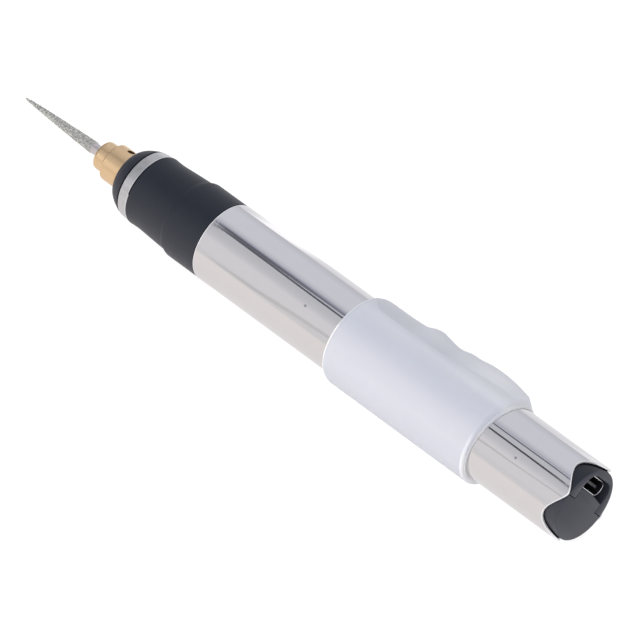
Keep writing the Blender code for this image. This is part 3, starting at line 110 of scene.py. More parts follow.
# %% [markdown]
# ## Writing nodes as code
# A node graph is long to write by hand. One method here makes any node from its type, its settings and the
# values or links of its sockets, and what it returns can be used in ordinary sums.

# %% Nodes as code


def sum_of(operation, swapped=False):
    """A method that puts a value and a second number through one Math node."""

    def method(self, other):
        pair = (other, self) if swapped else (self, other)
        return self.tree.node("ShaderNodeMath", {"operation": operation}, pair)

    return method


class Value:
    """A node's output that takes part in sums."""

    __add__, __radd__ = sum_of("ADD"), sum_of("ADD", True)
    __sub__, __rsub__ = sum_of("SUBTRACT"), sum_of("SUBTRACT", True)
    __mul__, __rmul__ = sum_of("MULTIPLY"), sum_of("MULTIPLY", True)
    __truediv__, __pow__ = sum_of("DIVIDE"), sum_of("POWER")

    def __init__(self, tree, socket):
        self.tree = tree
        self.socket = socket

    def math(self, operation, *others):
        return self.tree.node("ShaderNodeMath", {"operation": operation}, (self, *others))


class Tree:
    """A node tree, with one method that makes any node."""

    def __init__(self, tree):
        self.tree = tree

    def node(self, kind, settings=None, values=(), out=0, **named):
        """Any node. Sockets are set by their place or by their label, where _ stands for a blank."""
        made = self.tree.nodes.new(kind)
        for name, setting in (settings or {}).items():
            setattr(made, name, setting)
        pairs = values if isinstance(values, dict) else dict(enumerate(values))
        pairs.update((label.replace("_", " "), value) for label, value in named.items())
        for key, value in pairs.items():
            if isinstance(value, (Value, list)):
                for part in value if isinstance(value, list) else [value]:
                    self.tree.links.new(part.socket, made.inputs[key])
            else:
                made.inputs[key].default_value = value
        return Value(self, made.outputs[out])

    def end(self, kind, last):
        """Links what a tree has made to its output."""
        self.tree.links.new(last.socket, self.tree.nodes.new(kind).inputs[0])

    def parts(self, vector):
        """The three numbers of a vector."""
        outputs = self.node("ShaderNodeSeparateXYZ", values=(vector,)).socket.node.outputs
        return [Value(self, output) for output in outputs]

    def vector(self, x, y, z=0.0):
        return self.node("ShaderNodeCombineXYZ", values=(x, y, z))

    def mix(self, share, first, second):
        """A colour between two colours."""
        first, second = (item if isinstance(item, Value) else (*item, 1) for item in (first, second))
        return self.node("ShaderNodeMix", {"data_type": "RGBA"}, {0: share, 6: first, 7: second}, out=2)

    def ramp(self, share, stops):
        """A colour from a list of (share, colour) stops."""
        made = self.node("ShaderNodeValToRGB", values=(share,))
        ramp = made.socket.node.color_ramp
        while len(ramp.elements) < len(stops):
            ramp.elements.new(1)
        for element, (place, colour) in zip(ramp.elements, stops):
            element.position = place
            element.color = (*colour, 1)
        return made

    def step(self, number, low, high):
        """Rises from 0 to 1 as a number goes from low to high."""
        settings = {"interpolation_type": "SMOOTHSTEP"}
        return self.node("ShaderNodeMapRange", settings, Value=number, From_Min=low, From_Max=high)

    def noise(self, place, scale, detail=2.0, roughness=0.5):
        return self.node("ShaderNodeTexNoise", Vector=place, Scale=scale, Detail=detail, Roughness=roughness)

    def cells(self, place, scale):
        return self.node("ShaderNodeTexVoronoi", Vector=place, Scale=scale)

    def bump(self, height, depth):
        """A normal from a height between 0 and 1 that stands for so many millimetres."""
        return self.node("ShaderNodeBump", Distance=depth * MM, Height=height)

    def ray_is(self, kind):
        return self.node("ShaderNodeLightPath", out=f"Is {kind} Ray")

    def light(self, kind, colour, strength=1.0):
        return self.node(f"ShaderNode{kind}", Color=colour, Strength=strength)

    def blend(self, share, first, second):
        """One shader going over into another."""
        return self.node("ShaderNodeMixShader", values=(share, first, second))


def blank(made):
    """The empty tree of a new material or world."""
    made.use_nodes = True
    made.node_tree.nodes.clear()
    return Tree(made.node_tree)


print("node helpers ready")

# %% [markdown]
# ## The studio
# Chrome has no colour of its own: it shows the room. The world paints a pale room by the angle of the ray
# about the pen's line, for reflections only. What lights the pen is plain and soft, on white paper.

# %% World
# Angle from the rear horizon, over the top, to the front horizon, as a share, and the light seen there
ROOM = (
    (0.0, (0.6, 0.6, 0.66)), (0.02, (0.62, 0.63, 0.69)), (0.064, (0.646, 0.66, 0.728)),
    (0.157, (0.718, 0.733, 0.807)), (0.39, (0.718, 0.733, 0.807)), (0.447, (0.6, 0.612, 0.685)),
    (0.53, (0.595, 0.608, 0.672)), (0.611, (0.608, 0.612, 0.655)), (0.688, (0.662, 0.667, 0.712)),
    (0.764, (0.79, 0.785, 0.825)), (0.92, (0.8, 0.79, 0.825)), (0.955, (0.775, 0.765, 0.8)),
    (1.0, (0.76, 0.745, 0.765)),
)
ROOM_END = (0.86, 0.86, 0.9)
ROOM_FRONT = (0.36, 0.365, 0.39)
ROOM_FILL, ROOM_TILT, ROOM_REAR = 0.8, 0.3, 0.22
FILL_COLOUR = (0.985, 0.99, 1.0, 1)

world = bpy.data.worlds.new("studio")
bpy.context.scene.world = world
sky = blank(world)
ray_along, ray_side, ray_up = sky.parts(sky.node("ShaderNodeTexCoord", out="Generated"))
room = sky.ramp(ray_up.math("ARCTAN2", ray_side) / pi, ROOM)
room = sky.mix(sky.step(ray_along, 0.6, 0.82), room, ROOM_END)
room = sky.mix(sky.step(ray_along * -1.0, 0.58, 0.84), room, ROOM_FRONT)
fill = sky.light("Background", FILL_COLOUR, ROOM_FILL - ray_side * ROOM_TILT + ray_along * ROOM_REAR)
lit = sky.blend(sky.ray_is("Glossy"), fill, sky.light("Background", room))
white = sky.light("Background", (1, 1, 1, 1))
sky.end("ShaderNodeOutputWorld", sky.blend(sky.ray_is("Camera") + sky.ray_is("Transmission"), lit, white))
print(len(ROOM), "stops in the room")

# %% Floor and lamp
FLOOR_HALF = 4.0
PAPER = (0.8, 0.79, 0.8)
# The paper in reflections, from 0.3 m before the pen to 0.3 m behind it, as a share of that width
PAPER_MIRRORED = (
    (0.0, (0.785, 0.775, 0.8)), (0.233, (0.77, 0.76, 0.785)), (0.258, (0.765, 0.755, 0.775)),
    (0.283, (0.93, 0.89, 0.885)), (0.45, (0.93, 0.888, 0.883)), (0.5, (0.9, 0.88, 0.9)),
    (0.55, (0.9, 0.9, 0.945)), (0.592, (0.88, 0.885, 0.93)), (0.8, (0.82, 0.825, 0.88)),
    (1.0, (0.72, 0.72, 0.78)),
)
REFLECTOR = (1.35, 1.35, 1.38)
PAPER_GLOW = (1.25, 1.25, 1.25)
LAMP_PLACE = Vector((-0.5, -1.3, 1.2))


def stage_piece(name, corners, faces, material):
    """A flat piece of the studio that isn't part of the pen."""
    mesh = bpy.data.meshes.new(name)
    mesh.from_pydata(corners, [], faces)
    mesh.materials.append(material)
    made = placed(name, mesh)
    return made


paper = bpy.data.materials.new("paper")
sheet = blank(paper)
straight, mirrored, scattered = (sheet.ray_is(kind) for kind in ("Camera", "Glossy", "Diffuse"))
along, side, _ = sheet.parts(sheet.node("ShaderNodeTexCoord", out="Object"))
grain = sheet.noise(sheet.vector(along, side), 900.0)
shade = sheet.mix(straight, PAPER, (1.0, 1.0, 1.0))
lying = sheet.node("ShaderNodeBsdfDiffuse", Color=shade, Normal=sheet.bump(grain, 0.02))
# Three patches, in metres, that are paler to mirrored rays: one by the barrel's front and two by its tail
slant = along + side * 0.58
patch = sheet.step(slant, -0.019, -0.011) * (1 - sheet.step(slant, -0.006, 0.004))
patch = patch * sheet.step(side, 0.0, 0.02)
patch = patch + sheet.step(slant, 0.079, 0.0832) * sheet.step(side, 0.028, 0.034) * 0.35
patch = patch + sheet.step(along, 0.0755, 0.079) * (1 - sheet.step(side, -0.006, -0.001))
paper_seen = sheet.mix(patch, sheet.ramp(side / 0.6 + 0.5, PAPER_MIRRORED), REFLECTOR)
glow = sheet.light("Emission", sheet.mix(straight, sheet.mix(scattered, paper_seen, PAPER), PAPER_GLOW))
glowing = straight * 0.65 + mirrored * 0.8 + scattered * 0.2
sheet.end("ShaderNodeOutputMaterial", sheet.blend(glowing, lying, glow))
floor_corners = [(x * FLOOR_HALF, y * FLOOR_HALF, 0) for x, y in ((-1, -1), (1, -1), (1, 1), (-1, 1))]
stage_piece("floor", floor_corners, [(0, 1, 2, 3)], paper)

lamp = placed("soft_panel", bpy.data.lights.new("soft_panel", "AREA"))
lamp.data.shape = "SQUARE"
lamp.data.size = 1.1
lamp.data.energy = 11.0
lamp.data.color = (1.0, 0.985, 0.97)
lamp.location = LAMP_PLACE
lamp.rotation_euler = (-LAMP_PLACE).to_track_quat("-Z", "Y").to_euler()
lamp.visible_glossy = False
print("floor", 2 * FLOOR_HALF, "m wide")

# %% [markdown]
# ## Strips and cards overhead
# The thin dark lines along the barrel are reflections of narrow strips that hang above it. They are worked
# out backwards: the camera's ray is mirrored where a line lies and followed up to the strip's height.

# %% Strips and cards
STRIP_REACH = 0.37
COOL = (1.0, 1.04, 1.26)
PLAIN = (1.0, 0.98, 1.0)
# Each one's tint and its stations: a place along the barrel, two edges as shares of its half width, a tone
STRIPS = {
    "strip_near": (
        COOL, (59.2, 0.138, 0.168, 0.03), (59.9, 0.164, 0.204, 0.04), (60.8, 0.192, 0.238, 0.09),
        (62.5, 0.206, 0.245, 0.12), (66, 0.206, 0.245, 0.12), (78, 0.196, 0.238, 0.12),
        (87, 0.187, 0.229, 0.11), (96, 0.185, 0.226, 0.13), (139, 0.136, 0.174, 0.07),
        (149, 0.129, 0.168, 0.07), (160, 0.122, 0.162, 0.07), (161.8, 0.114, 0.154, 0.07),
        (163.4, 0.07, 0.104, 0.07),
    ),
    "strip_far": (
        COOL, (59.9, 0.272, 0.3, 0.1), (60.8, 0.262, 0.314, 0.13), (62.5, 0.236, 0.316, 0.13),
        (76, 0.24, 0.314, 0.16), (87, 0.25, 0.312, 0.19), (96, 0.258, 0.31, 0.25),
        (139, 0.276, 0.301, 0.1), (160, 0.278, 0.303, 0.1), (163, 0.258, 0.285, 0.1),
    ),
    "strip_soft": (
        COOL, (60, 0.316, 0.352, 0.42), (96, 0.312, 0.35, 0.42), (139, 0.325, 0.352, 0.5),
        (163, 0.315, 0.35, 0.46),
    ),
    "strip_front": (
        PLAIN, (-70, 0.2, 0.34, 0.45), (20, 0.2, 0.36, 0.45), (30, 0.18, 0.35, 0.42),
        (34, 0.18, 0.32, 0.36), (41, 0.18, 0.32, 0.36),
    ),
    "strip_low": (
        PLAIN, (64, -0.52, -0.45, 0.68), (77.4, -0.48, -0.415, 0.64), (86.9, -0.424, -0.346, 0.66),
        (95.2, -0.38, -0.312, 0.66), (143.1, -0.2, -0.17, 0.6), (149.1, -0.196, -0.166, 0.6),
        (155, -0.173, -0.143, 0.6), (161, -0.151, -0.121, 0.6), (164.5, -0.14, -0.11, 0.6),
    ),
    "card_dark": (PLAIN, (-70, 0.42, 0.97, 0.44), (26, 0.43, 0.97, 0.48), (45, 0.45, 0.97, 0.64)),
    "card_light": (PLAIN, (-70, -0.38, -0.12, 1.16), (10, -0.38, -0.12, 1.14), (31.5, -0.38, -0.12, 1.0)),
}


def mirrored_place(along, share):
    """Where the camera's ray is after it is mirrored at a place on the barrel and goes on for a while."""
    turned = asin(share)
    out = Vector((0, -cos(turned), sin(turned)))
    place = PEN @ (out * TUBE_RADIUS + Vector((along, 0, 0)))
    normal = (PEN.to_3x3() @ out).normalized()
    sight = (place - EYE).normalized()
    return place + (sight - 2 * sight.dot(normal) * normal) * STRIP_REACH


def hung_strip(name, tint, *stations):
    """A strip that shows in reflections alone and throws no shadow."""
    felt = bpy.data.materials.new(name)
    cloth = blank(felt)
    tone = cloth.node("ShaderNodeAttribute", {"attribute_name": "tone"})
    cloth.end("ShaderNodeOutputMaterial", cloth.light("Emission", tone))
    corners = [mirrored_place(station[0], edge) for station in stations for edge in station[1:3]]
    faces = [(k, k + 1, k + 3, k + 2) for k in range(0, len(corners) - 2, 2)]
    made = stage_piece(name, corners, faces, felt)
    tones = made.data.color_attributes.new("tone", "FLOAT_COLOR", "POINT")
    for k, item in enumerate(tones.data):
        item.color = [part * stations[k // 2][3] for part in tint] + [1.0]
    for kind in ("camera", "diffuse", "shadow", "transmission"):
        setattr(made, f"visible_{kind}", False)


for name, (tint, *stations) in STRIPS.items():
    hung_strip(name, tint, *stations)
print(len(STRIPS), "strips and cards hang", STRIP_REACH, "m from the barrel")

# %% [markdown]
# ## Finishes of metal
# Metals differ by colour, polish and the marks of their making. Turned brass has fine rings round the axis,
# a drawn can has lines along it, and chrome has hardly a mark at all.

# %% Metal finishes


class Finish(Tree):
    """A material in the making, called m below: one shader, with patterns in the pen's own millimetres."""

    def __init__(self, name, **sockets):
        self.made = bpy.data.materials.new(name)
        self.made.use_nodes = True
        super().__init__(self.made.node_tree)
        self.inputs = self.tree.nodes["Principled BSDF"].inputs
        for key, value in sockets.items():
            socket = self.inputs[key.replace("_", " ")]
            socket.default_value = (*value, 1) if socket.type == "RGBA" else value

    @cached_property
    def place(self):
        """Where a point is in the pen's own frame."""
        seen = self.node("ShaderNodeTexCoord", out="Object")
        shift = -(Matrix.Rotation(ROLL, 3, "X") @ tip_place) / MM
        scale, rolled = (1 / MM,) * 3, (ROLL, 0, 0)
        return self.node("ShaderNodeMapping", Vector=seen, Location=shift, Rotation=rolled, Scale=scale)

    @cached_property
    def axes(self):
        return self.parts(self.place)

    x = property(lambda self: self.axes[0])
    y = property(lambda self: self.axes[1])
    z = property(lambda self: self.axes[2])

    @cached_property
    def away(self):
        """How far a point is from the pen's axis."""
        return (self.y * self.y + self.z * self.z) ** 0.5

    def done(self, colour, roughness, height, depth, **others):
        """Links the patterns to the shader, with a relief of so many millimetres."""
        patterns = {"Base Color": colour, "Roughness": roughness, "Normal": self.bump(height, depth)}
        for key, pattern in {**patterns, **others}.items():
            self.tree.links.new(pattern.socket, self.inputs[key])
        return self.made


def rim_wave(up, across, tongues, power):
    """How far the barrel's tail rim is cut back, from 0 on a tongue to 1 between two."""
    turned = up.math("ARCTAN2", across) * tongues
    return ((1 - turned.math("COSINE")) * 0.5) ** power


def chrome_plate():
    """Bright chrome: mirror polish, faint wipe marks, dull punch marks and a painted highlight line along the
    cut ends.
    """
    m = Finish("chrome_plate")
    wipes = m.noise(m.vector(m.x * 0.12, m.y, m.z), 3.0, 3.0)
    cloud = m.noise(m.place, 0.35)
    gaps = []
    for along, turned in PUNCH_PLACES:
        mark = (along, -TUBE_RADIUS * cos(turned), TUBE_RADIUS * sin(turned))
        gaps.append(m.node("ShaderNodeVectorMath", {"operation": "DISTANCE"}, (m.place, mark), "Value"))
    dull = 1 - m.step(gaps[0].math("MINIMUM", gaps[1]), 0.16, PUNCH_RADIUS)
    from_rim = m.x - TUBE_END + rim_wave(m.z, m.y, RIM_TONGUES, RIM_POWER) * RIM_DEPTH
    # Painted highlight: the front edge and the tail rim are painted near white and barely metallic, less so
    # on the rim's upper and lower sides.
    highlight_by_side = 1 - m.step(m.z, 3.0, 5.5) * 0.6 - (1 - m.step(m.z, -7.5, -5.5)) * 0.5
    front_edge_highlight = 1 - m.step(m.x, TUBE_START + 0.1, TUBE_START + 0.28)
    cut_edge_highlight = front_edge_highlight + m.step(from_rim, -0.17, -0.09) * highlight_by_side
    colour = m.mix(dull, m.mix(cloud, (0.755, 0.738, 0.732), (0.775, 0.76, 0.756)), (0.42, 0.42, 0.45))
    colour = m.mix(cut_edge_highlight, colour, (0.97, 0.97, 0.98))
    roughness = 0.035 + wipes * 0.035 + dull * 0.35 + cut_edge_highlight * 0.4
    return m.done(colour, roughness, cloud, 0.004, Metallic=1 - cut_edge_highlight * 0.85)


def turned_metal(name, low, high, roughness, rings, depth):
    """Metal turned on a lathe: fine rings round the pen's axis."""
    m = Finish(name, Metallic=1.0)
    marks = m.noise(m.vector(m.x * rings, m.away * rings), 1.0, 3.0, 0.6)
    cloud = m.noise(m.place, 0.9, 3.0)
    return m.done(m.mix(marks * 0.6 + cloud * 0.4, low, high), roughness + marks * 0.12, marks, depth)


def lined_metal(name, low, high, roughness, lines, depth):
    """Drawn or rolled metal: fine lines along the pen."""
    m = Finish(name, Metallic=1.0)
    marks = m.noise(m.vector(m.x * 0.4, m.y * lines, m.z * lines), 1.0, 3.0, 0.6)
    return m.done(m.mix(marks, low, high), roughness + marks * 0.15, marks, depth)


def brushed_ring():
    """The ring's satin: long lines round it, from an abrasive belt, and a painted highlight along its rear
    edge.
    """
    m = Finish("brushed_steel", Metallic=1.0)
    turned = m.z.math("ARCTAN2", m.y)
    lines = m.noise(m.vector(m.x * 9.0, turned * 5.0), 1.0, 4.0, 0.7)
    cloud = m.noise(m.vector(m.x, turned * 6.0), 1.0, 2.0)
    colour = m.mix(lines * 0.75 + cloud * 0.25, (0.385, 0.382, 0.382), (0.86, 0.86, 0.865))
    # Painted highlight: the rear edge is painted nearly white.
    edge = m.step(m.x, RING_END - 0.34, RING_END - 0.24) * 0.4
    return m.done(m.mix(edge, colour, (0.97, 0.97, 0.97)), 0.24 + lines * 0.12, lines, 0.008)


def laminated_steel():
    """Stacked stampings: a thin dark line at each sheet of the core."""
    m = Finish("laminated_steel", Metallic=1.0)
    joint = m.step((m.x * (tau / 0.35)).math("SINE"), 0.55, 0.95)
    rust = m.noise(m.place, 1.2, 4.0)
    colour = m.mix(joint, m.mix(rust, (0.2, 0.19, 0.18), (0.33, 0.32, 0.31)), (0.05, 0.05, 0.05))
    return m.done(colour, 0.42 + rust * 0.2, 1 - joint, 0.03)


def wound_wire():
    """Enamelled wire in layers, each turn a small ridge, with painted shade darker in the grooves between
    turns.
    """
    m = Finish("wound_wire", Metallic=0.85)
    turns = (m.away + m.noise(m.place, 1.5) * 0.06) * (tau / 0.22)
    ridge = turns.math("SINE") * 0.5 + 0.5
    # Painted shade: darker in the grooves between turns, lighter on their tops.
    return m.done(m.mix(ridge, (0.3, 0.085, 0.03), (0.86, 0.36, 0.16)), 0.42 - ridge * 0.16, ridge, 0.05)


def spotted_nickel():
    """A battery tab: bright rolled nickel with four weld spots."""
    m = Finish("nickel_strip", Metallic=1.0)
    side, rise = m.y.math("ABSOLUTE") - 1.0, m.z.math("ABSOLUTE") - 0.9
    spot = 1 - m.step((side * side + rise * rise) ** 0.5, 0.18, 0.42)
    lines = m.noise(m.vector(m.y * 0.5, m.z * 9.0, m.x), 1.0, 3.0)
    colour = m.mix(spot, m.mix(lines, (0.6, 0.59, 0.56), (0.74, 0.73, 0.7)), (0.3, 0.27, 0.25))
    return m.done(colour, 0.24 + lines * 0.12 + spot * 0.2, 1 - spot, 0.06)


print("rules for metal ready")

# %% The metals
# After the name: the darkest and lightest colour, the roughness, how fine the marks are, how deep they are
CHROME = chrome_plate()
BRASS = turned_metal("turned_brass", (0.775, 0.535, 0.295), (0.925, 0.69, 0.425), 0.2, 7.0, 0.01)
RING_STEEL = brushed_ring()
SHANK_STEEL = turned_metal("ground_shank", (0.58, 0.535, 0.525), (0.8, 0.745, 0.735), 0.27, 6.0, 0.004)
BLACK_OXIDE = turned_metal("black_oxide", (0.035, 0.035, 0.04), (0.09, 0.09, 0.1), 0.38, 5.0, 0.01)
SHAFT_STEEL = turned_metal("ground_shaft", (0.58, 0.58, 0.6), (0.72, 0.72, 0.74), 0.18, 8.0, 0.003)
CAN_STEEL = lined_metal("drawn_can", (0.5, 0.5, 0.51), (0.66, 0.66, 0.67), 0.28, 3.0, 0.006)
PORT_STEEL = lined_metal("port_steel", (0.78, 0.78, 0.8), (0.9, 0.9, 0.92), 0.16, 2.5, 0.003)
PORT_INSIDE = lined_metal("tin_in_shade", (0.05, 0.05, 0.055), (0.1, 0.1, 0.11), 0.45, 2.5, 0.003)
COPPER = lined_metal("bare_copper", (0.62, 0.27, 0.14), (0.85, 0.42, 0.25), 0.28, 4.0, 0.006)
BRONZE = turned_metal("sintered_bronze", (0.3, 0.19, 0.1), (0.58, 0.38, 0.2), 0.48, 3.0, 0.02)
GOLD_PAD = lined_metal("gold_contact", (0.85, 0.62, 0.28), (0.98, 0.78, 0.42), 0.2, 5.0, 0.002)
LAMINATED = laminated_steel()
WIRE_COIL = wound_wire()
NICKEL = spotted_nickel()
print(len(bpy.data.materials), "materials so far")

# %% [markdown]
# ## Finishes of plastic, rubber and stone
# A moulded part has a fine even texture and a soft sheen. The sleeve is translucent silicone: light goes a
# little way into it. Diamond grit is clear stone held in nickel, so it is pale, sharp and uneven.

# %% Plastic, rubber and stone finishes
# Height above the pen's axis, from 11 mm below it to 13 mm above, as a share, and the silicone's colour
# there. These tones are painted light and shade: pale low down, darkest a little above the axis, pale again
# at the top.
SILICONE_LIGHT_AND_SHADE = (
    (0.05, (0.655, 0.66, 0.722)), (0.125, (0.645, 0.652, 0.715)), (0.25, (0.64, 0.646, 0.703)),
    (0.375, (0.603, 0.608, 0.668)), (0.458, (0.568, 0.578, 0.646)), (0.492, (0.553, 0.566, 0.637)),
    (0.525, (0.548, 0.566, 0.642)), (0.563, (0.54, 0.56, 0.64)), (0.625, (0.55, 0.57, 0.65)),
    (0.667, (0.575, 0.593, 0.67)), (0.7, (0.615, 0.63, 0.705)), (0.729, (0.648, 0.665, 0.735)),
    (0.8, (0.628, 0.645, 0.72)), (0.833, (0.655, 0.672, 0.745)), (0.896, (0.71, 0.722, 0.788)),
    (0.958, (0.725, 0.735, 0.8)),
)
STONE_TONES = ((0.37, (0.1, 0.1, 0.1)), (0.48, (0.5, 0.5, 0.475)), (0.58, (1.0, 0.99, 0.91)))


def moulded(name, low, high, roughness, texture, depth, painted_light_rule=None, **sockets):
    """Moulded plastic: a fine even texture and a slight cloud in its colour. A further rule may paint light
    and shade on it.
    """
    m = Finish(name, **sockets)
    fine = m.noise(m.place, texture)
    cloud = m.noise(m.place, 0.25, 3.0)
    colour = m.mix(cloud, low, high)
    dull = roughness + cloud * 0.08 + fine * 0.05
    if painted_light_rule:
        colour, dull = painted_light_rule(m, colour, dull)
    return m.done(colour, dull, fine, depth)


def grip_underside_light_and_dull_line(m, colour, dull):
    """Painted light: the lower side is paler, as if lit from below, and a duller line at the foot of the
    collar.
    """
    # Painted light: the lower side is painted paler, as if lit from below.
    colour = m.mix(1 - m.step(m.z, -10.0, 3.0), colour, (0.03, 0.0318, 0.041))
    rubbed = m.step(m.x, 49.2, 49.6) * (1 - m.step(m.x, 50.1, 50.5))
    return colour, dull + rubbed * 0.15


def plug_side_light_and_shade(m, colour, dull):
    """Painted light and shade on the plug's side wall: darker on its upper side, paler on its lower side."""
    side_skin = m.step(m.away, 7.7, 7.95) * (1 - m.step(m.x, 162.7, 162.85))
    # Painted shade on the upper side of the side wall, painted light on its lower side.
    colour = m.mix(side_skin * m.step(m.z, -1.0, 1.5), colour, (0.01, 0.012, 0.02))
    return m.mix(side_skin * (1 - m.step(m.z, -3.4, -1.4)), colour, (0.038, 0.04, 0.05)), dull


def milky_silicone():
    """The sleeve: milky rubber with soft streaks along it. Its colour has painted light and shade by height,
    a paler top on the rear swelling, painted highlights on its rims and painted light on its shaded rear end.
    """
    glow = {"Subsurface_Weight": 0.45, "Subsurface_Scale": 0.001, "Subsurface_Radius": (0.9, 1.0, 1.2)}
    m = Finish("milky_silicone", Specular_IOR_Level=0.42, **glow)
    streak = m.noise(m.vector(m.x * 0.06, m.y * 0.35, m.z * 0.35), 1.0)
    fine = m.noise(m.place, 4.0)
    # The colour by height carries painted light and shade.
    colour = m.mix(streak * 0.1, m.ramp((m.z + 11) / 24, SILICONE_LIGHT_AND_SHADE), (0.95, 0.95, 0.98))
    # Painted light: the top of the rear swelling is painted paler.
    swelling_top_light = m.step(m.x, 120.0, 131.0) * m.step(m.z, 5.0, 8.0)
    colour = m.mix(swelling_top_light * 0.22, colour, (0.97, 0.97, 1.0))
    low_side = 1 - m.step(m.z, -0.5, 1.0)
    # Painted highlights on the front rim, the rear outer edge and the rear inner lip, stronger on the lower
    # side.
    front_rim_highlight = 1 - m.step(m.x, SLEEVE_START + 0.42, SLEEVE_START + 0.66)
    outer_edge_highlight = m.step(m.x, SLEEVE_END - 1.75, SLEEVE_END - 1.5) * m.step(m.away, 9.9, 10.1)
    inner_lip_highlight = m.step(m.x, SLEEVE_END - 2.2, SLEEVE_END - 1.9) * (1 - m.step(m.away, 9.3, 9.5))
    rim_highlights = front_rim_highlight * (low_side * 0.78 + 0.22) + inner_lip_highlight * 0.5 * (low_side * 0.75 + 0.25)
    rim_highlights = rim_highlights + outer_edge_highlight * 0.35 * (1 - m.step(m.z, -4.0, -1.0))
    colour = m.mix(rim_highlights, colour, (1.0, 1.0, 1.0))
    # Painted light over the lower part of the rear end face, where it lies in shade.
    end_face_light = m.step(m.x, SLEEVE_END - 1.9, SLEEVE_END - 1.6) * (1 - m.step(m.z, -8.5, -4.0))
    colour = m.mix(end_face_light * 0.8, colour, (0.93, 0.93, 0.96))
    return m.done(colour, 0.34 + fine * 0.1 + streak * 0.06, streak * 0.8 + fine * 0.02, 0.12)


def diamond_stone():
    """One grain's stone differs from the next: clear, grey or faintly yellow."""
    m = Finish("diamond_grit", Metallic=0.35, Specular_IOR_Level=0.8)
    kind = m.noise(m.place, 2.4, 2.0, 0.8)
    return m.done(m.ramp(kind, STONE_TONES), 0.2 + kind * 0.3, kind, 0.02)


def nickel_bond():
    """The plating that holds the grit: dull grey and pitted, with painted shade darkening the pits."""
    m = Finish("nickel_bond", Metallic=0.9)
    pits = m.cells(m.place, 5.0)
    # Painted shade: the colour is darker in the pits.
    shade = pits * 0.7 + m.noise(m.place, 1.2, 3.0) * 0.5
    return m.done(m.mix(shade, (0.215, 0.217, 0.21), (0.73, 0.728, 0.69)), 0.36 + pits * 0.2, pits, 0.05)


def film_wrap():
    """The cell's shrink film: plain blue, a little crinkled, with the seam where it overlaps."""
    m = Finish("shrink_film", Coat_Weight=0.3)
    crinkle = m.noise(m.vector(m.x * 0.5, m.y, m.z), 0.9, 4.0, 0.6)
    seam = 1 - m.step(m.y.math("ABSOLUTE"), 0.1, 0.35)
    colour = m.mix(seam * 0.5, m.mix(crinkle, (0.02, 0.14, 0.36), (0.06, 0.25, 0.52)), (0.01, 0.08, 0.22))
    return m.done(colour, 0.22 + crinkle * 0.15, crinkle + seam * 0.4, 0.05)


def masked_board():
    """A circuit board: green mask over copper tracks, with tinned holes."""
    m = Finish("masked_board", Coat_Weight=0.4)
    bent = m.noise(m.vector(m.x * 0.5, m.y * 0.5), 1.0) * 1.2
    track = m.step(((m.y + bent) * (tau / 0.9)).math("SINE"), 0.35, 0.6)
    hole = 1 - m.step(m.cells(m.vector(m.x, m.y), 0.8), 0.1, 0.15)
    colour = m.mix(hole, m.mix(track, (0.008, 0.1, 0.035), (0.02, 0.2, 0.07)), (0.62, 0.6, 0.55))
    return m.done(colour, 0.35 - hole * 0.1, track + hole, 0.03, Metallic=hole)


def moulded_chip():
    """Black epoxy with fine pores."""
    m = Finish("epoxy_chip")
    fine = m.noise(m.place, 9.0)
    colour = m.mix(fine, (0.012, 0.012, 0.013), (0.035, 0.035, 0.037))
    return m.done(colour, 0.5 + fine * 0.15, fine + m.cells(m.place, 3.0) * 0.3, 0.008)


def clear_lens():
    """The lamp's lens: clear acrylic, a little smoky, with flow lines from its mould."""
    m = Finish("clear_acrylic", IOR=1.49, Transmission_Weight=0.6)
    flow = m.noise(m.place, 1.4)
    return m.done(m.mix(flow, (0.8, 0.84, 0.86), (0.92, 0.94, 0.95)), 0.06 + flow * 0.05, flow, 0.004)


def lamp_chip():
    """The lamp itself: a white case round a yellow phosphor."""
    m = Finish("lamp_phosphor")
    glow_share = 1 - m.step((m.x - LENS_PLACE).math("ABSOLUTE"), 0.35, 0.5)
    fine = m.noise(m.place, 6.0)
    colour = m.mix(glow_share, m.mix(fine, (0.72, 0.72, 0.7), (0.85, 0.85, 0.83)), (0.9, 0.7, 0.08))
    return m.done(colour, 0.35 + fine * 0.2, fine, 0.004)


print("rules for plastic, rubber and stone ready")

# %% The plastics, the rubber and the stone
SHEEN = {"Sheen_Weight": 0.05, "Sheen_Roughness": 0.45, "Sheen_Tint": (0.92, 0.95, 1.0)}
LEVEL = {"Specular_IOR_Level": 0.42}
GRIP_TONES = ((0.0045, 0.008, 0.018), (0.0095, 0.0132, 0.0245))
PLUG_TONES = ((0.025, 0.028, 0.041), (0.038, 0.041, 0.057))
# After the name, as for the metals: two colours, the roughness, how fine the texture is, how deep it is
GRIP_BLACK = moulded("grip_black", *GRIP_TONES, 0.44, 5.0, 0.01, grip_underside_light_and_dull_line, **LEVEL, **SHEEN)
PLUG_BLACK = moulded("plug_black", *PLUG_TONES, 0.34, 4.0, 0.008, plug_side_light_and_shade, **LEVEL)
BUTTON_BLACK = moulded("button_black", (0.018, 0.019, 0.024), (0.03, 0.031, 0.037), 0.38, 6.0, 0.008)
PORT_BLACK = moulded("port_black", (0.06, 0.062, 0.07), (0.085, 0.087, 0.097), 0.4, 7.0, 0.006)
FERRITE = moulded("ferrite", (0.045, 0.045, 0.05), (0.1, 0.1, 0.105), 0.55, 3.5, 0.03)
MILKY = {"Subsurface_Weight": 0.1}
NYLON = moulded("natural_nylon", (0.66, 0.64, 0.56), (0.78, 0.76, 0.69), 0.42, 3.0, 0.01, **MILKY)
CARBON = moulded("carbon", (0.018, 0.018, 0.02), (0.05, 0.05, 0.052), 0.55, 8.0, 0.02, Metallic=0.3)
LEAD_RED = moulded("red_insulation", (0.45, 0.012, 0.012), (0.62, 0.03, 0.025), 0.34, 2.5, 0.012)
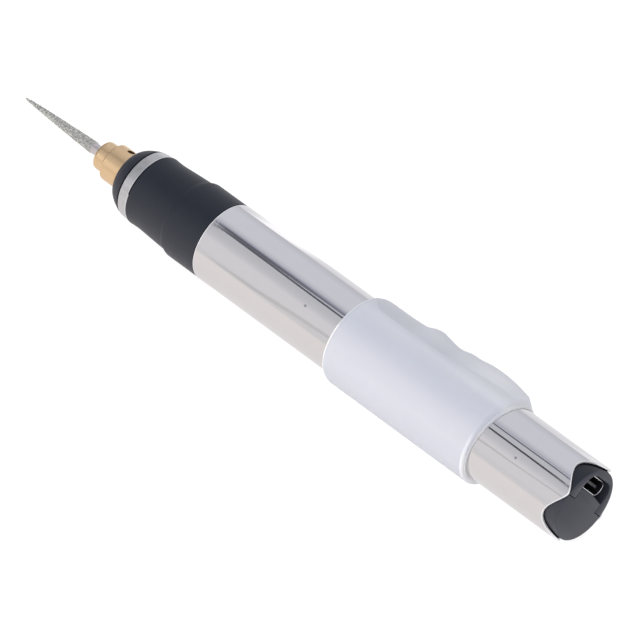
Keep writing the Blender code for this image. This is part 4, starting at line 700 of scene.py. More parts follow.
LEAD_BLACK = moulded("black_insulation", (0.012, 0.012, 0.013), (0.03, 0.03, 0.032), 0.34, 2.5, 0.012)
SILICONE = milky_silicone()
GRIT = diamond_stone()
BOND = nickel_bond()
FILM = film_wrap()
BOARD = masked_board()
EPOXY = moulded_chip()
LENS = clear_lens()
PHOSPHOR = lamp_chip()
print(len(bpy.data.materials), "materials in all")

# %% [markdown]
# ## Shaping round pieces
# Nearly every piece is turned or tubular, so one lathe does most of the work. A profile is a list of corners,
# each with its own rounding. A holding point beside each rounding keeps the next flat truly flat in shading.

# %% Lathe
ROUND_STEPS = 3
HOLD = 1.3
MERGE = 1e-5
SHARP = radians(38)


def shares(steps):
    """Even steps from 0 to 1."""
    return [step / steps for step in range(steps + 1)]


def eased(corners, closed=True):
    """Rounds a profile's corners. A corner is (x, radius, rounding)."""
    count = len(corners)
    points = []
    for k, (x, radius, rounding) in enumerate(corners):
        here = Vector((x, radius))
        if rounding == 0 or (not closed and k in (0, count - 1)):
            points.append(here)
            continue
        before = Vector(corners[k - 1][:2]) - here
        after = Vector(corners[(k + 1) % count][:2]) - here
        reach = min(rounding, before.length * 0.45 / HOLD, after.length * 0.45 / HOLD)
        start, end = here + before.normalized() * reach, here + after.normalized() * reach
        points.append(here + before.normalized() * reach * HOLD)
        for share in shares(ROUND_STEPS):
            points.append(start.lerp(here, share).lerp(here.lerp(end, share), share))
        points.append(here + after.normalized() * reach * HOLD)
    return [tuple(point) for point in points]


def skin(loops, closed=True, capped=False):
    """Joins outlines of equal count, each (x, outline), into one skin."""
    maker = bmesh.new()
    rings = [[maker.verts.new((x, y, z)) for y, z in outline] for x, outline in loops]
    for first, second in zip(rings, rings[1:] + (rings[:1] if closed else [])):
        for k in range(len(first)):
            after = (k + 1) % len(first)
            maker.faces.new((first[k], first[after], second[after], second[k]))
    if capped:
        maker.faces.new(rings[0])
        maker.faces.new(rings[-1])
    bmesh.ops.remove_doubles(maker, verts=maker.verts, dist=MERGE)
    bmesh.ops.recalc_face_normals(maker, faces=maker.faces)
    return maker


def even_turns(sides, phase=0.0):
    return [phase + tau * k / sides for k in range(sides)]


def lathe(profile, turns, closed=True):
    """Turns a profile of (x, radius) points about the x axis; one that isn't closed ends on the axis."""
    loops = [(x, [(radius * cos(turn), radius * sin(turn)) for turn in turns]) for x, radius in profile]
    return skin(loops, closed)


def loose_object(name, maker, material):
    """An object drawn in the pen's own millimetres, not yet laid down."""
    mesh = bpy.data.meshes.new(name)
    maker.to_mesh(mesh)
    maker.free()
    mesh.materials.append(material)
    return placed(name, mesh)


def modify(made, kind, **settings):
    """Gives an object one more modifier."""
    modifier = made.modifiers.new(kind.lower(), kind)
    for key, setting in settings.items():
        setattr(modifier, key, setting)
    return modifier


def settled(made):
    """Keeps what an object's modifiers make as its plain mesh."""
    graph = bpy.context.evaluated_depsgraph_get()
    mesh = bpy.data.meshes.new_from_object(made.evaluated_get(graph))
    made.modifiers.clear()
    made.data = mesh
    return made


def carve(made, *makers):
    """Cuts shapes out of an object."""
    cutters = [loose_object("cutter", maker, made.data.materials[0]) for maker in makers]
    for cutter in cutters:
        modify(made, "BOOLEAN", operation="DIFFERENCE", solver="EXACT", object=cutter)
    settled(made)
    for cutter in cutters:
        bpy.data.objects.remove(cutter, do_unlink=True)


def hand_over(made, body, slot, *nodes):
    """Lays a drawn piece on the floor and lets it stand for its solids."""
    made.data.transform(PEN)
    made.data.shade_smooth()
    made.data.set_sharp_from_angle(angle=SHARP)
    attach(made, body)
    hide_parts(*nodes)
    print(made.name, len(made.data.polygons), "faces")


def radial(maker, place, angle):
    """Turns a shape drawn along x into one that stands out from the pen's axis at a place and an angle."""
    out, back = Vector((0, cos(angle), sin(angle))), Vector((-1, 0, 0))
    third = out.cross(back)
    rows = [(out[k], back[k], third[k], place if k == 0 else 0) for k in range(3)]
    bmesh.ops.transform(maker, matrix=Matrix((*rows, (0, 0, 0, 1))), verts=maker.verts)
    return maker


def plug_of(low, high, radius, sides=48, flare=0.0, flare_from=None):
    """A round cutter along x, which may open into a small countersink."""
    profile = [(low, 0), (low, radius)]
    if flare:
        profile += [(flare_from, radius), (flare_from + flare, radius + flare)]
        radius += flare
    return lathe([*profile, (high, radius), (high, 0)], even_turns(sides), closed=False)


print("lathe ready")

# %% [markdown]
# ## The burr
# A diamond burr is a ground steel cone with crushed diamond plated on, in one piece with its shank. Geometry
# Nodes scatters a few thousand small stones over the cone, each turned and sized at random from one seed.

# %% Burr core
BURR_LENGTH = 38.0
HEAD_LENGTH, HEAD_RADIUS = 20.2, 1.38
TIP_RADIUS = 0.22
SHANK_RADIUS = 1.175
NECK_LENGTH = 1.8
SWELL_POWER = 0.74
GRIT_DEPTH = 0.05
BOND_END, GRIT_END = HEAD_LENGTH + 0.6, HEAD_LENGTH + 0.45

burr_profile = [(0.16, 0), (0.18, TIP_RADIUS * 0.75)]
for share in shares(24):
    swell = TIP_RADIUS + (HEAD_RADIUS - TIP_RADIUS) * share**SWELL_POWER
    burr_profile.append((HEAD_LENGTH * share + TIP_RADIUS * (1 - share), swell - GRIT_DEPTH))
for share in shares(6)[1:]:
    drop = (HEAD_RADIUS - GRIT_DEPTH - SHANK_RADIUS) * (1 + cos(pi * share)) / 2
    burr_profile.append((HEAD_LENGTH + NECK_LENGTH * share, SHANK_RADIUS + drop))
burr_profile += [(BURR_LENGTH - 0.2, SHANK_RADIUS), (BURR_LENGTH, SHANK_RADIUS - 0.2), (BURR_LENGTH, 0)]
burr_core = loose_object("burr_core", lathe(burr_profile, even_turns(48), closed=False), SHANK_STEEL)
burr_core.data.materials.append(BOND)
for face in burr_core.data.polygons:
    face.material_index = 1 if face.center.x < BOND_END else 0
print(len(burr_profile), "points in the burr's profile")

# %% Geometry Nodes helper
KINDS = {int: "Int", float: "Float"}


class Recipe(Tree):
    """A Geometry Nodes tree with a geometry and named sizes in. A size's kind follows from its value."""

    def __init__(self, name, sizes):
        super().__init__(bpy.data.node_groups.new(name, "GeometryNodeTree"))
        self.tree.is_modifier = True
        self.sizes = sizes
        sockets = [(label, KINDS.get(type(size), "Material")) for label, size in sizes.items()]
        for label, kind in [("Geometry", "Geometry"), *sockets]:
            self.tree.interface.new_socket(label, in_out="INPUT", socket_type=f"NodeSocket{kind}")
        self.tree.interface.new_socket("Geometry", in_out="OUTPUT", socket_type="NodeSocketGeometry")
        entry = self.tree.nodes.new("NodeGroupInput")
        self.entry = {socket.name: Value(self, socket) for socket in entry.outputs if socket.name}

    def __getitem__(self, label):
        return self.entry[label]

    def grow(self, made, geometry):
        """Ends the tree with real geometry in its finish, runs it on an object and keeps what it makes."""
        real = self.node("GeometryNodeRealizeInstances", values=(geometry,))
        painted = self.node("GeometryNodeSetMaterial", Geometry=real, Material=self["Finish"])
        self.end("NodeGroupOutput", painted)
        modifier = modify(made, "NODES", node_group=self.tree)
        for item in self.tree.interface.items_tree:
            if item.in_out == "INPUT" and item.name in self.sizes:
                modifier[item.identifier] = self.sizes[item.name]
        settled(made)


# %% Grit
GRIT_SIZES = {"Head end": GRIT_END, "Grains per mm2": 24.0, "Grain size": 0.17, "Seed": 7, "Finish": GRIT}

grit = Recipe("scatter_grit", GRIT_SIZES)
seed = grit["Seed"]


def drawn(low, high, seed):
    """A vector drawn at random for each grain."""
    return grit.node("FunctionNodeRandomValue", {"data_type": "FLOAT_VECTOR"}, Min=low, Max=high, Seed=seed)


along_burr = grit.parts(grit.node("GeometryNodeInputPosition"))[0]
on_head = grit.node("FunctionNodeCompare", {"operation": "LESS_THAN"}, (along_burr, grit["Head end"]))
spread = {"Mesh": grit["Geometry"], "Selection": on_head, "Density": grit["Grains per mm2"], "Seed": seed}
points = grit.node("GeometryNodeDistributePointsOnFaces", values=spread)
stone = grit.node("GeometryNodeMeshIcoSphere", Radius=grit["Grain size"] * 0.5, Subdivisions=1)
spin = drawn((0, 0, 0), (tau, tau, tau), seed)
shape = drawn((0.6, 0.5, 0.5), (1.25, 1.1, 1.2), seed + 1)
grains = grit.node("GeometryNodeInstanceOnPoints", Points=points, Instance=stone, Rotation=spin, Scale=shape)

burr_grit = placed("burr_grit", burr_core.data.copy())
grit.grow(burr_grit, grains)
hand_over(burr_core, "burr", "burr_grit", "diamond_burr")
hand_over(burr_grit, "burr", "burr_grit", "diamond_burr")
for face in burr_grit.data.polygons:
    face.use_smooth = False

# %% [markdown]
# ## The chuck and its screws
# The chuck is turned brass in two steps, bored from both ends, with countersunk cross holes for four grub
# screws. They are one screw, drawn once and set in its four places by Geometry Nodes.

# %% Chuck
CHUCK_START, CHUCK_END, CHUCK_RADIUS = 23.35, 46.0, 4.26
NOSE_END, NOSE_RADIUS = 26.5, 3.28
BURR_BORE, SHAFT_BORE, WEB_BORE = 1.325, 1.15, 0.6
WEB_START, WEB_END = 38.3, 39.3
SCREW_PLACES = (29.55, 43.0)
SCREW_ANGLE = radians(114.5)

chuck_profile = eased([
    (CHUCK_START, BURR_BORE, 0.12), (CHUCK_START, NOSE_RADIUS, 0.75), (NOSE_END, NOSE_RADIUS, 0.24),
    (NOSE_END, CHUCK_RADIUS, 0.7), (CHUCK_END, CHUCK_RADIUS, 0.25), (CHUCK_END, SHAFT_BORE, 0.12),
    (WEB_END, SHAFT_BORE, 0), (WEB_END, WEB_BORE, 0), (WEB_START, WEB_BORE, 0), (WEB_START, BURR_BORE, 0),
])
chuck = loose_object("chuck", lathe(chuck_profile, even_turns(96)), BRASS)
holes = []
for place in SCREW_PLACES:
    for angle in (SCREW_ANGLE, SCREW_ANGLE + pi):
        hole = plug_of(0.7, CHUCK_RADIUS + 1, 0.82, 32, flare=0.12, flare_from=CHUCK_RADIUS - 0.14)
        holes.append(radial(hole, place, angle))
carve(chuck, *holes)
hand_over(chuck, "spindle", "chuck_brass", "chuck_body")

# %% Grub screws
SCREW_LENGTH, SCREW_RADIUS = 2.1, 0.65
THREAD_PITCH, THREAD_DEPTH = 0.3, 0.07
SCREW_SIZES = {
    "Burr place": SCREW_PLACES[0],
    "Shaft place": SCREW_PLACES[1],
    "Burr foot": 1.475,
    "Shaft foot": 1.3,
    "Angle": SCREW_ANGLE,
    "Finish": BLACK_OXIDE,
}

root = SCREW_RADIUS - THREAD_DEPTH
thread = [(0, 0), (0, SCREW_RADIUS - 0.2), (0.15, root)]
for ridge in range(int((SCREW_LENGTH - 0.4) / THREAD_PITCH)):
    low = 0.18 + ridge * THREAD_PITCH
    thread += [(low, root), (low + THREAD_PITCH / 2, SCREW_RADIUS)]
thread += [(SCREW_LENGTH - 0.12, root), (SCREW_LENGTH, SCREW_RADIUS - 0.18), (SCREW_LENGTH, 0)]
grub = loose_object("grub_screws", lathe(thread, even_turns(24), closed=False), BLACK_OXIDE)
carve(grub, plug_of(SCREW_LENGTH - 0.9, SCREW_LENGTH + 0.5, 0.38, 6))

screw = Recipe("set_screws", SCREW_SIZES)
number = screw.node("GeometryNodeInputIndex")
row = (number / 2.0).math("FLOOR")
side = number - row * 2.0
along = screw["Burr place"] * (1 - row) + screw["Shaft place"] * row
foot = screw["Burr foot"] * (1 - row) + screw["Shaft foot"] * row
turned = screw["Angle"] + side * pi
cos_turn, sin_turn = turned.math("COSINE"), turned.math("SINE")
seat = screw.vector(along, foot * cos_turn, foot * sin_turn)
outward = screw.vector(0.0, cos_turn, sin_turn)
facing = screw.node("FunctionNodeAlignRotationToVector", {"axis": "X"}, Vector=outward)
seats = screw.node("GeometryNodePoints", Count=4, Position=seat)
each = {"Points": seats, "Instance": screw["Geometry"], "Rotation": facing}
screw.grow(grub, screw.node("GeometryNodeInstanceOnPoints", values=each))
hand_over(grub, "spindle", "dark_steel", *(f"chuck_screw_{k}" for k in range(1, 5)))

# %% [markdown]
# ## The nose grip and its ring
# The nose is one moulding: a dome round the chuck, a shallow waist and a collar that meets the barrel. Its
# cavity is real, because the spindle turns in it. A steel ring sits in a groove, its ends meeting in a step.

# %% Nose grip
DOME_START, DOME_RADIUS, DOME_STEPS = 31.65, 7.7, 14
OPENING = 4.65
GROOVE_START, GROOVE_END, RING_SEAT = RING_START - 0.35, RING_END + 0.15, 7.2
WAIST_PLACE, WAIST_RADIUS = 48.7, 8.44
COLLAR_PLACE, COLLAR_RADIUS, COLLAR_STEPS = 50.6, 8.95, 12
COLLAR_END = TUBE_START - 0.15
SPIGOT_END, SPIGOT_RADIUS, SPIGOT_BORE = 68.0, 8.35, 6.8
SEAT_START, SEAT_END, SEAT_BORE = 48.8, 51.0, 2.7
CAVITY_START, CAVITY_RADIUS = DOME_START + 1.2, 5.6

dome = []
for share in (even**2 for even in shares(DOME_STEPS)):
    radius = OPENING + (DOME_RADIUS - OPENING) * share**0.45
    dome.append((DOME_START + (GROOVE_START - DOME_START) * share, radius, 0))
collar = []
for share in shares(COLLAR_STEPS):
    rise = (1 - cos(pi * share)) / 2
    x = WAIST_PLACE + (COLLAR_PLACE - WAIST_PLACE) * share
    collar.append((x, WAIST_RADIUS + (COLLAR_RADIUS - WAIST_RADIUS) * rise, 0))
nose_profile = eased([
    (CAVITY_START, OPENING, 0.15), (DOME_START, OPENING, 0.2), *dome[1:-1], (*dome[-1][:2], 0.12),
    (GROOVE_START, RING_SEAT, 0), (GROOVE_END, RING_SEAT, 0), (GROOVE_END, 8.1, 0.12), (39.4, 8.04, 0),
    (40.4, 8.0, 0), (41.6, 8.03, 0), (44.6, 8.22, 0), *collar, (COLLAR_END, COLLAR_RADIUS, 0.15),
    (COLLAR_END, SPIGOT_RADIUS, 0), (SPIGOT_END, SPIGOT_RADIUS, 0.3), (SPIGOT_END, SPIGOT_BORE, 0.1),
    (SEAT_END, SPIGOT_BORE, 0), (SEAT_END, SEAT_BORE, 0.1), (SEAT_START, SEAT_BORE, 0.1),
    (SEAT_START, CAVITY_RADIUS, 0), (CAVITY_START, CAVITY_RADIUS, 0),
])
nose = loose_object("nose", lathe(nose_profile, even_turns(128)), GRIP_BLACK)
screw_holes = [plug_of(SEAT_START - 1, SEAT_END + 1, 0.9, 24) for _ in range(2)]
for hole, side in zip(screw_holes, (-4.1, 4.1)):
    bmesh.ops.translate(hole, verts=hole.verts, vec=(0, side, 0))
carve(nose, *screw_holes)
hand_over(nose, "pen", "nose_black", "nose_grip")

# %% Ring
SEAM_TURN = atan2(-0.449, -0.893)
SEAM_STEP = 0.22
RING_REAR = RING_END - 0.15

ring_profile = [(RING_START, 7.35, 0.05), (RING_START, 7.8, 0.1)]
ring_profile += [(RING_REAR, 8.05, 0.12), (RING_REAR, 7.35, 0.05)]
ring_turns = sorted([*even_turns(144, SEAM_TURN + 0.005), SEAM_TURN - 0.003])
ring = loose_object("ring", lathe(eased(ring_profile), ring_turns), RING_STEEL)
for point in ring.data.vertices:
    past_seam = (atan2(point.co.z, point.co.y) - SEAM_TURN) % tau
    if point.co.x > RING_END - 0.6:
        point.co.x += SEAM_STEP * (1 - past_seam / tau)
hand_over(ring, "pen", "ring_steel", "nose_ring")

# %% [markdown]
# ## The barrel
# The barrel is a thin chromed tube. Its tail rim is cut in a wave with four tongues that hug the plug, which
# Geometry Nodes bends by five named sizes. Two small punch marks are pressed in where the mesh is finer.

# %% Barrel
PUNCH_DEPTH = 0.09
FINE_REACH, FINE_GAP = 0.9, 0.1
BUTTON_ANGLE = radians(45)
RIM_SIZES = {"End": TUBE_END, "Reach": 9.0, "Depth": RIM_DEPTH, "Tongues": RIM_TONGUES, "Power": RIM_POWER}


def fine_near(values, centre, reach, gap):
    """A list of places with finer ones added near a centre."""
    kept = [value for value in values if abs(value - centre) > reach]
    count = int(2 * reach / gap)
    return sorted(kept + [centre - reach + 2 * reach * k / count for k in range(count + 1)])


stations = [TUBE_START + 4.0 * k for k in range(1, 24)] + [153.5 + 0.75 * k for k in range(12)]
for place, _ in PUNCH_PLACES:
    stations = fine_near(stations, place, FINE_REACH, FINE_GAP)
barrel_profile = [(TUBE_START, TUBE_BORE, 0.08), (TUBE_START, TUBE_RADIUS, 0.16)]
barrel_profile += [(x, TUBE_RADIUS, 0) for x in stations]
barrel_profile += [(TUBE_END, TUBE_RADIUS, 0.16), (TUBE_END, TUBE_BORE, 0.1)]
barrel_profile += [(x, TUBE_BORE, 0) for x in reversed(stations) if x > 150 or int(x) % 4 == 0]
punch_turn = pi - PUNCH_PLACES[0][1]
barrel_turns = fine_near(even_turns(180), punch_turn, FINE_REACH / TUBE_RADIUS, FINE_GAP / TUBE_RADIUS)
barrel = loose_object("barrel", lathe(eased(barrel_profile), barrel_turns), CHROME)

rim = Recipe("wavy_rim", {**RIM_SIZES, "Finish": CHROME})
along, across, up = rim.parts(rim.node("GeometryNodeInputPosition"))
near_end = rim.step(along, rim["End"] - rim["Reach"], rim["End"])
pulled = rim_wave(up, across, rim["Tongues"], rim["Power"]) * near_end * rim["Depth"] * -1.0
moved = rim.node("GeometryNodeSetPosition", Geometry=rim["Geometry"], Offset=rim.vector(pulled, 0.0))
rim.grow(barrel, moved)

for point in barrel.data.vertices:
    radius = sqrt(point.co.y**2 + point.co.z**2)
    if radius > TUBE_RADIUS - 0.05:
        for place, turned in PUNCH_PLACES:
            across = (atan2(point.co.z, -point.co.y) - turned) * TUBE_RADIUS
            away = sqrt((point.co.x - place) ** 2 + across**2)
            if away < PUNCH_RADIUS:
                dip = PUNCH_DEPTH * (1 + cos(pi * away / PUNCH_RADIUS)) / 2
                point.co.y *= 1 - dip / radius
                point.co.z *= 1 - dip / radius
button_hole = radial(plug_of(7.5, 10, 3.2, 64), BUTTON_PLACE, BUTTON_ANGLE)
lens_hole = radial(plug_of(7.5, 10, 0.95, 32), LENS_PLACE, BUTTON_ANGLE)
carve(barrel, button_hole, lens_hole)
hand_over(barrel, "pen", "barrel_chrome", "barrel_tube")

# %% [markdown]
# ## The soft sleeve
# The sleeve is a silicone tube with a ridge along its far side, which swells twice for two fingers. From a
# crease on each side, where a mesh line always runs, a nearly flat flank rises to the rounded ridge. The two
# ends hug the barrel, and the rear end is a little askew.

# %% Ridge and crease
SLEEVE_RADIUS, SLEEVE_BORE, LIP_BORE = 10.3, 9.15, 9.02
PAD_HEIGHT = 1.8
RIDGE_ROUNDING = radians(9)
# Share of the sleeve's length, then how high the ridge stands there as a share of its height
RIDGE = (
    (0.0, 0.0), (0.04, 0.04), (0.19, 0.05), (0.27, 0.14), (0.3, 0.24), (0.34, 0.6), (0.38, 0.74),
    (0.43, 0.58), (0.495, 0.37), (0.54, 0.46), (0.58, 0.67), (0.64, 0.73), (0.7, 0.94), (0.78, 1.0),
    (0.855, 0.9), (0.91, 0.73), (0.965, 0.52), (1.0, 0.42),
)
# Place along the pen, then the angle from the ridge to the crease, in degrees
CREASE = (
    (97.7, 30), (99.2, 31), (100.2, 36), (101.6, 42), (103.5, 43.5), (118, 42), (124, 36), (130, 31),
    (141, 27),
)


def smooth_through(points, place):
    """A smooth curve through a list of (place, height) points."""
    place = min(max(place, points[0][0]), points[-1][0])
    for k in range(len(points) - 1):
        low, high = points[k], points[k + 1]
        if low[0] <= place <= high[0]:
            before, after = points[max(k - 1, 0)], points[min(k + 2, len(points) - 1)]
            width = high[0] - low[0]
            slope_low = (high[1] - before[1]) / (high[0] - before[0])
            slope_high = (after[1] - low[1]) / (after[0] - low[0])
            t = (place - low[0]) / width
            curve = (2 * t**3 - 3 * t**2 + 1) * low[1] + (t**3 - 2 * t**2 + t) * width * slope_low
            return curve + (3 * t**2 - 2 * t**3) * high[1] + (t**3 - t**2) * width * slope_high


def clamped(share):
    return min(1.0, max(0.0, share))


def section_radius(away, x, crease):
    """The sleeve's outer radius at an angle from the ridge's line, at a place along the pen."""
    top = SLEEVE_RADIUS + PAD_HEIGHT * smooth_through(RIDGE, (x - SLEEVE_START) / SLEEVE_LENGTH)
    if away >= crease:
        return SLEEVE_RADIUS
    foot = Vector((cos(crease), sin(crease))) * SLEEVE_RADIUS
    soft = RIDGE_ROUNDING
    peak = top * (cos(soft) - foot.x * sin(soft) / foot.y) / (1 - top * sin(soft) / foot.y)
    turn = min(sqrt(away**2 + soft**2), crease)
    flank = peak / (cos(turn) + (peak - foot.x) / foot.y * sin(turn))
    return SLEEVE_RADIUS + (flank - SLEEVE_RADIUS) * clamped((x - SLEEVE_START - 0.8) / 2.0)


print(len(RIDGE), "points along the ridge,", len(CREASE), "along the crease")

# %% Sleeve
CREASE_MIDDLE = radians(40)
SKEW_START, SKEW_INNER, SKEW_UPPER, SKEW_LOWER = SLEEVE_END - 6, 1.1, -0.45, 0.3

# Corners of the two ends: how far from the end, the radius and the rounding
SLEEVE_FRONT = (
    (1.0, SLEEVE_BORE, 0.2), (0.6, LIP_BORE, 0.1), (0, LIP_BORE, 0.1), (0, 9.75, 0.3),
    (1.3, SLEEVE_RADIUS, 0.9),
)
SLEEVE_REAR = (
    (1.15, SLEEVE_RADIUS, 0.35), (0.62, 9.68, 0.1), (0.6, 9.56, 0.04), (0.38, 9.5, 0.08),
    (0.2, 9.12, 0.08), (0.2, LIP_BORE, 0.04), (0.8, LIP_BORE, 0.1), (1.2, SLEEVE_BORE, 0.2),
)

sleeve_corners = [(SLEEVE_START + x, *corner) for x, *corner in SLEEVE_FRONT]
sleeve_corners += [(SLEEVE_START + 2.4 + 0.6 * k, SLEEVE_RADIUS, 0) for k in range(61)]
sleeve_corners += [(SLEEVE_END - x, *corner) for x, *corner in SLEEVE_REAR]
half_turns = [2.5 * k for k in range(16)] + [39.1, 39.6, 40, 40.4, 40.9] + [42.5 + 2.5 * k for k in range(56)]
sleeve_turns = sorted({round(pi / 2 + side * radians(turn), 7) for side in (-1, 1) for turn in half_turns})
sleeve_maker = lathe(eased(sleeve_corners), sleeve_turns[:-1])
for point in sleeve_maker.verts:
    x = point.co.x
    radius = sqrt(point.co.y**2 + point.co.z**2)
    turned = (atan2(point.co.z, point.co.y) - pi / 2 + pi) % tau - pi
    away = abs(turned)
    crease = radians(smooth_through(CREASE, x))
    if away < CREASE_MIDDLE:
        bent = away * crease / CREASE_MIDDLE
    else:
        bent = crease + (away - CREASE_MIDDLE) * (pi - crease) / (pi - CREASE_MIDDLE)
    depth = clamped((radius - SLEEVE_BORE) / (SLEEVE_RADIUS - SLEEVE_BORE))
    radius += (section_radius(bent, x, crease) - SLEEVE_RADIUS) * depth
    bent = pi / 2 + (bent if turned >= 0 else -bent)
    lean = cos(bent - pi / 2)
    skew = SKEW_INNER * (1 - depth) + (SKEW_UPPER if lean > 0 else SKEW_LOWER) * depth
    shift = clamped((x - SKEW_START) / 6) ** 2 * skew * lean
    point.co = Vector((x + shift, radius * cos(bent), radius * sin(bent)))
hand_over(loose_object("sleeve", sleeve_maker, SILICONE), "sleeve", "sleeve_silicone", "grip_sleeve")

# %% [markdown]
# ## The tail plug
# The two halves of the inner shell end in the black plug. Their solids have the right shape already, so
# copies are taken, their loose triangles are joined, and a small bevel breaks the edges.

# %% Plug and shell halves
EDGE_BREAK = {"width": 0.14, "segments": 2, "limit_method": "ANGLE", "angle_limit": radians(40)}
# Outline, across and up, of the low saddle that carries the inlet at the plug's face
CRADLE = ((-5.15, 1.2), (-5.15, 2.56), (0.9, 2.56), (5.15, 2.04), (5.15, 1.2))


def softened(node, name, added=None):
    """A copy of a solid with its triangles joined, a detail added if there is one, and its edges broken."""
    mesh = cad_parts[node].data.copy()
    mesh.transform(PEN.inverted())
    maker = bmesh.new()
    maker.from_mesh(mesh)
    bmesh.ops.remove_doubles(maker, verts=maker.verts, dist=0.002)
    bmesh.ops.dissolve_limit(maker, angle_limit=radians(1.5), verts=maker.verts, edges=maker.edges)
    maker.to_mesh(mesh)
    maker.free()
    mesh.materials.clear()
    mesh.materials.append(PLUG_BLACK)
    if "custom_normal" in mesh.attributes:
        mesh.attributes.remove(mesh.attributes["custom_normal"])
    made = placed(name, mesh)
    if added:
        modify(made, "BOOLEAN", operation="UNION", solver="EXACT", object=added)
    modify(made, "BEVEL", **EDGE_BREAK)
    return settled(made)


cradle_maker = skin([(160.6, CRADLE), (162.999, CRADLE)], closed=False, capped=True)
cradle = loose_object("cradle", cradle_maker, PLUG_BLACK)
plug_lower = softened("chassis_lower", "plug_lower", cradle)
bpy.data.objects.remove(cradle, do_unlink=True)
hand_over(plug_lower, "pen", "plug_black", "chassis_lower")
hand_over(softened("chassis_upper", "plug_upper"), "pen", "plug_black", "chassis_upper")

# %% [markdown]
# ## The USB-C inlet
# The inlet is a drawn steel shell with a plastic tongue inside. Its twelve gold contacts on each face are one
# contact, which Geometry Nodes sets out in two rows.

# %% Inlet
PORT_UP, PORT_WIDTH, PORT_HEIGHT = 4.37, 8.94, 3.5
MOUTH = TUBE_END - 1.3
PORT_BACK = MOUTH - 7.3
SHELL_LOOPS = (
    (PORT_BACK, 0.03), (PORT_BACK + 0.05, 0), (MOUTH - 0.12, 0), (MOUTH - 0.035, 0.035), (MOUTH, 0.12),
    (MOUTH - 0.02, 0.22), (MOUTH - 0.12, 0.29), (MOUTH - 0.25, 0.3), (PORT_BACK, 0.3),
)


def arc(y, z, radius, start, turn, steps):
    """Points on a part of a circle."""
    turns = [start + turn * step / steps for step in range(steps + 1)]
    return [(y + radius * cos(turned), z + radius * sin(turned)) for turned in turns]


def stadium(inset):
    """The inlet's outline set in by a margin: flat faces and round ends."""
    straight, radius = (PORT_WIDTH - PORT_HEIGHT) / 2, PORT_HEIGHT / 2 - inset
    return arc(straight, PORT_UP, radius, -pi / 2, pi, 14) + arc(-straight, PORT_UP, radius, pi / 2, pi, 14)


inlet = loose_object("inlet_shell", skin([(x, stadium(inset)) for x, inset in SHELL_LOOPS]), PORT_STEEL)
inlet.data.materials.append(PORT_INSIDE)
for face in inlet.data.polygons:
    inward = Vector((0, face.center.y, face.center.z - PORT_UP)).dot(face.normal) < 0
    face.material_index = 1 if inward and face.center.x < MOUTH - 0.15 else 0
hand_over(inlet, "pen", "steel", "usb_shell")

# %% Tongue and contacts
TONGUE_WIDTH, TONGUE_THICK, TONGUE_END = 6.69, 0.7, MOUTH - 0.8
CONTACT_WIDTH, CONTACT_THICK = 0.26, 0.06
CONTACT_SIZES = {
    "Count": 12,
    "Pitch": 0.5,
    "Start": TONGUE_END - 4.6,
    "Length": 3.2,
    "Rise": TONGUE_THICK / 2 + 0.005,
    "Up": PORT_UP,
    "Finish": GOLD_PAD,
}


def slab(inset, rounding):
    """A rounded rectangle about the inlet's middle, the tongue's outline set in by a margin."""
    wide, high = TONGUE_WIDTH / 2 - inset - rounding, TONGUE_THICK / 2 - inset - rounding
    points = []
    for side, rise, start in ((1, 1, 0), (-1, 1, pi / 2), (-1, -1, pi), (1, -1, 1.5 * pi)):
        points += arc(side * wide, PORT_UP + rise * high, rounding, start, pi / 2, 4)
    return points


base_loops = [(PORT_BACK + x, stadium(inset)) for x, inset in ((0, 0.45), (1.5, 0.45), (1.6, 0.55))]
full = slab(0, 0.12)
plate_loops = [(PORT_BACK + 1.2, full), (TONGUE_END - 0.14, full), (TONGUE_END, slab(0.12, 0.1))]
base = loose_object("inlet_base", skin(base_loops, closed=False, capped=True), PORT_BLACK)
plate = loose_object("inlet_tongue", skin(plate_loops, closed=False, capped=True), PORT_BLACK)
contacts = placed("inlet_contacts", plate.data.copy())

contact = Recipe("row_of_contacts", CONTACT_SIZES)
blade_size = contact.vector(contact["Length"], CONTACT_WIDTH, CONTACT_THICK)
blade = contact.node("GeometryNodeMeshCube", Size=blade_size)
first = (contact["Count"] - 1.0) * contact["Pitch"] * -0.5
middle = contact["Start"] + contact["Length"] * 0.5
rows = []
for sign in (-1.0, 1.0):
    place = contact.vector(middle, first, contact["Up"] + contact["Rise"] * sign)
    apart = contact.vector(0.0, contact["Pitch"])
    line = contact.node("GeometryNodeMeshLine", Count=contact["Count"], Start_Location=place, Offset=apart)
    rows.append(contact.node("GeometryNodeInstanceOnPoints", Points=line, Instance=blade))
contact.grow(contacts, contact.node("GeometryNodeJoinGeometry", values=(rows,)))
for piece in (base, plate, contacts):
    hand_over(piece, "pen", "chip", "usb_tongue")

# %% [markdown]
# ## Button and lamp lens
# Both sit on the side that the photograph doesn't show. The button is a round cap with a shallow dish, the
# lens a small clear plug with a domed top.

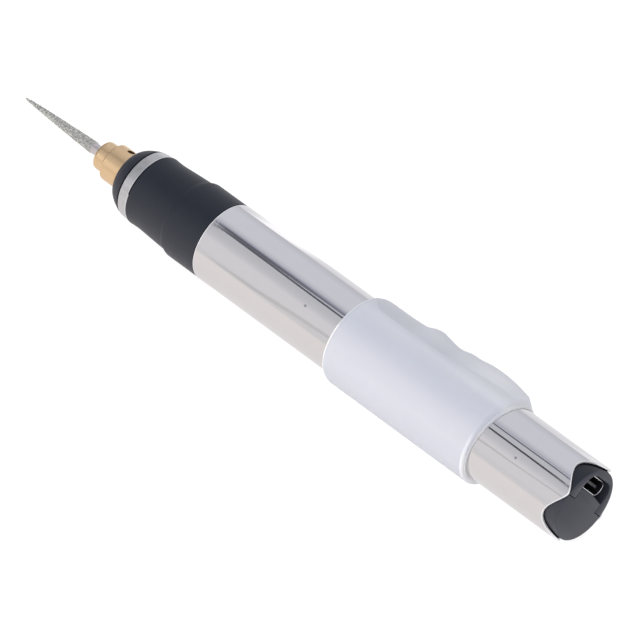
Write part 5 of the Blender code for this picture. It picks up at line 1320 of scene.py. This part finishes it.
# %% Button and lens
BUTTON_PROFILE = (
    (6.0, 0, 0), (6.0, 3.5, 0.1), (6.6, 3.5, 0.1), (6.6, 3.0, 0.05), (9.6, 3.0, 0.4), (9.6, 2.35, 0.15),
    (9.48, 2.1, 0.2), (9.36, 1.0, 0.3), (9.33, 0, 0),
)
LENS_PROFILE = (
    (4.55, 0, 0), (4.55, 0.8, 0.08), (6.3, 0.8, 0.04), (6.3, 1.1, 0.08), (6.9, 1.1, 0.08), (6.9, 0.8, 0.04),
    (8.86, 0.8, 0.06), (8.97, 0.62, 0.1), (9.03, 0.36, 0.1), (9.05, 0, 0),
)

button = radial(lathe(eased(BUTTON_PROFILE, False), even_turns(72), False), BUTTON_PLACE, BUTTON_ANGLE)
hand_over(loose_object("button", button, BUTTON_BLACK), "button", "button", "button_cap")
lens = radial(lathe(eased(LENS_PROFILE, False), even_turns(40), False), LENS_PLACE, BUTTON_ANGLE)
hand_over(loose_object("lens", lens, LENS), "pen", "lens", "led_lens")
low, high = (Vector(corner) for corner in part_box("led_lens"))
print("lens solid reaches", round((high - low).length / MM, 2), "mm")

# %% [markdown]
# ## Inside the pen
# Motor, cell, boards and leads are shut in, and their solids are right as they are. Each gets the material of
# the real thing, because the pen may be taken apart on screen.

# %% Materials of the inner pieces
INNER_FINISHES = (
    (CAN_STEEL, "motor_can", "battery_cap"),
    (NYLON, "motor_end_cap", "commutator_hub", "switch_plunger"),
    (COPPER, "motor_terminal", "commutator_segment"),
    (BRONZE, "motor_bush"),
    (SHAFT_STEEL, "motor_shaft"),
    (LAMINATED, "rotor_core"),
    (WIRE_COIL, "rotor_winding"),
    (FERRITE, "motor_magnet"),
    (CARBON, "motor_brush"),
    (BLACK_OXIDE, "motor_screw", "board_screw"),
    (FILM, "battery_cell"),
    (NICKEL, "battery_tab"),
    (BOARD, "charge_board", "switch_board"),
    (EPOXY, "board_chip", "switch_base"),
    (PHOSPHOR, "status_led"),
    (LEAD_RED, "wire_motor_red", "wire_switch_red", "wire_battery_red"),
    (LEAD_BLACK, "wire_motor_black", "wire_battery_black"),
)

finish_of = {name: material for material, *names in INNER_FINISHES for name in names}
dressed = 0
for name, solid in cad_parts.items():
    material = finish_of.get(name.rstrip("_0123456789"))
    if material:
        for slot in solid.material_slots:
            slot.material = material
        dressed += 1
print(dressed, "inner solids dressed")
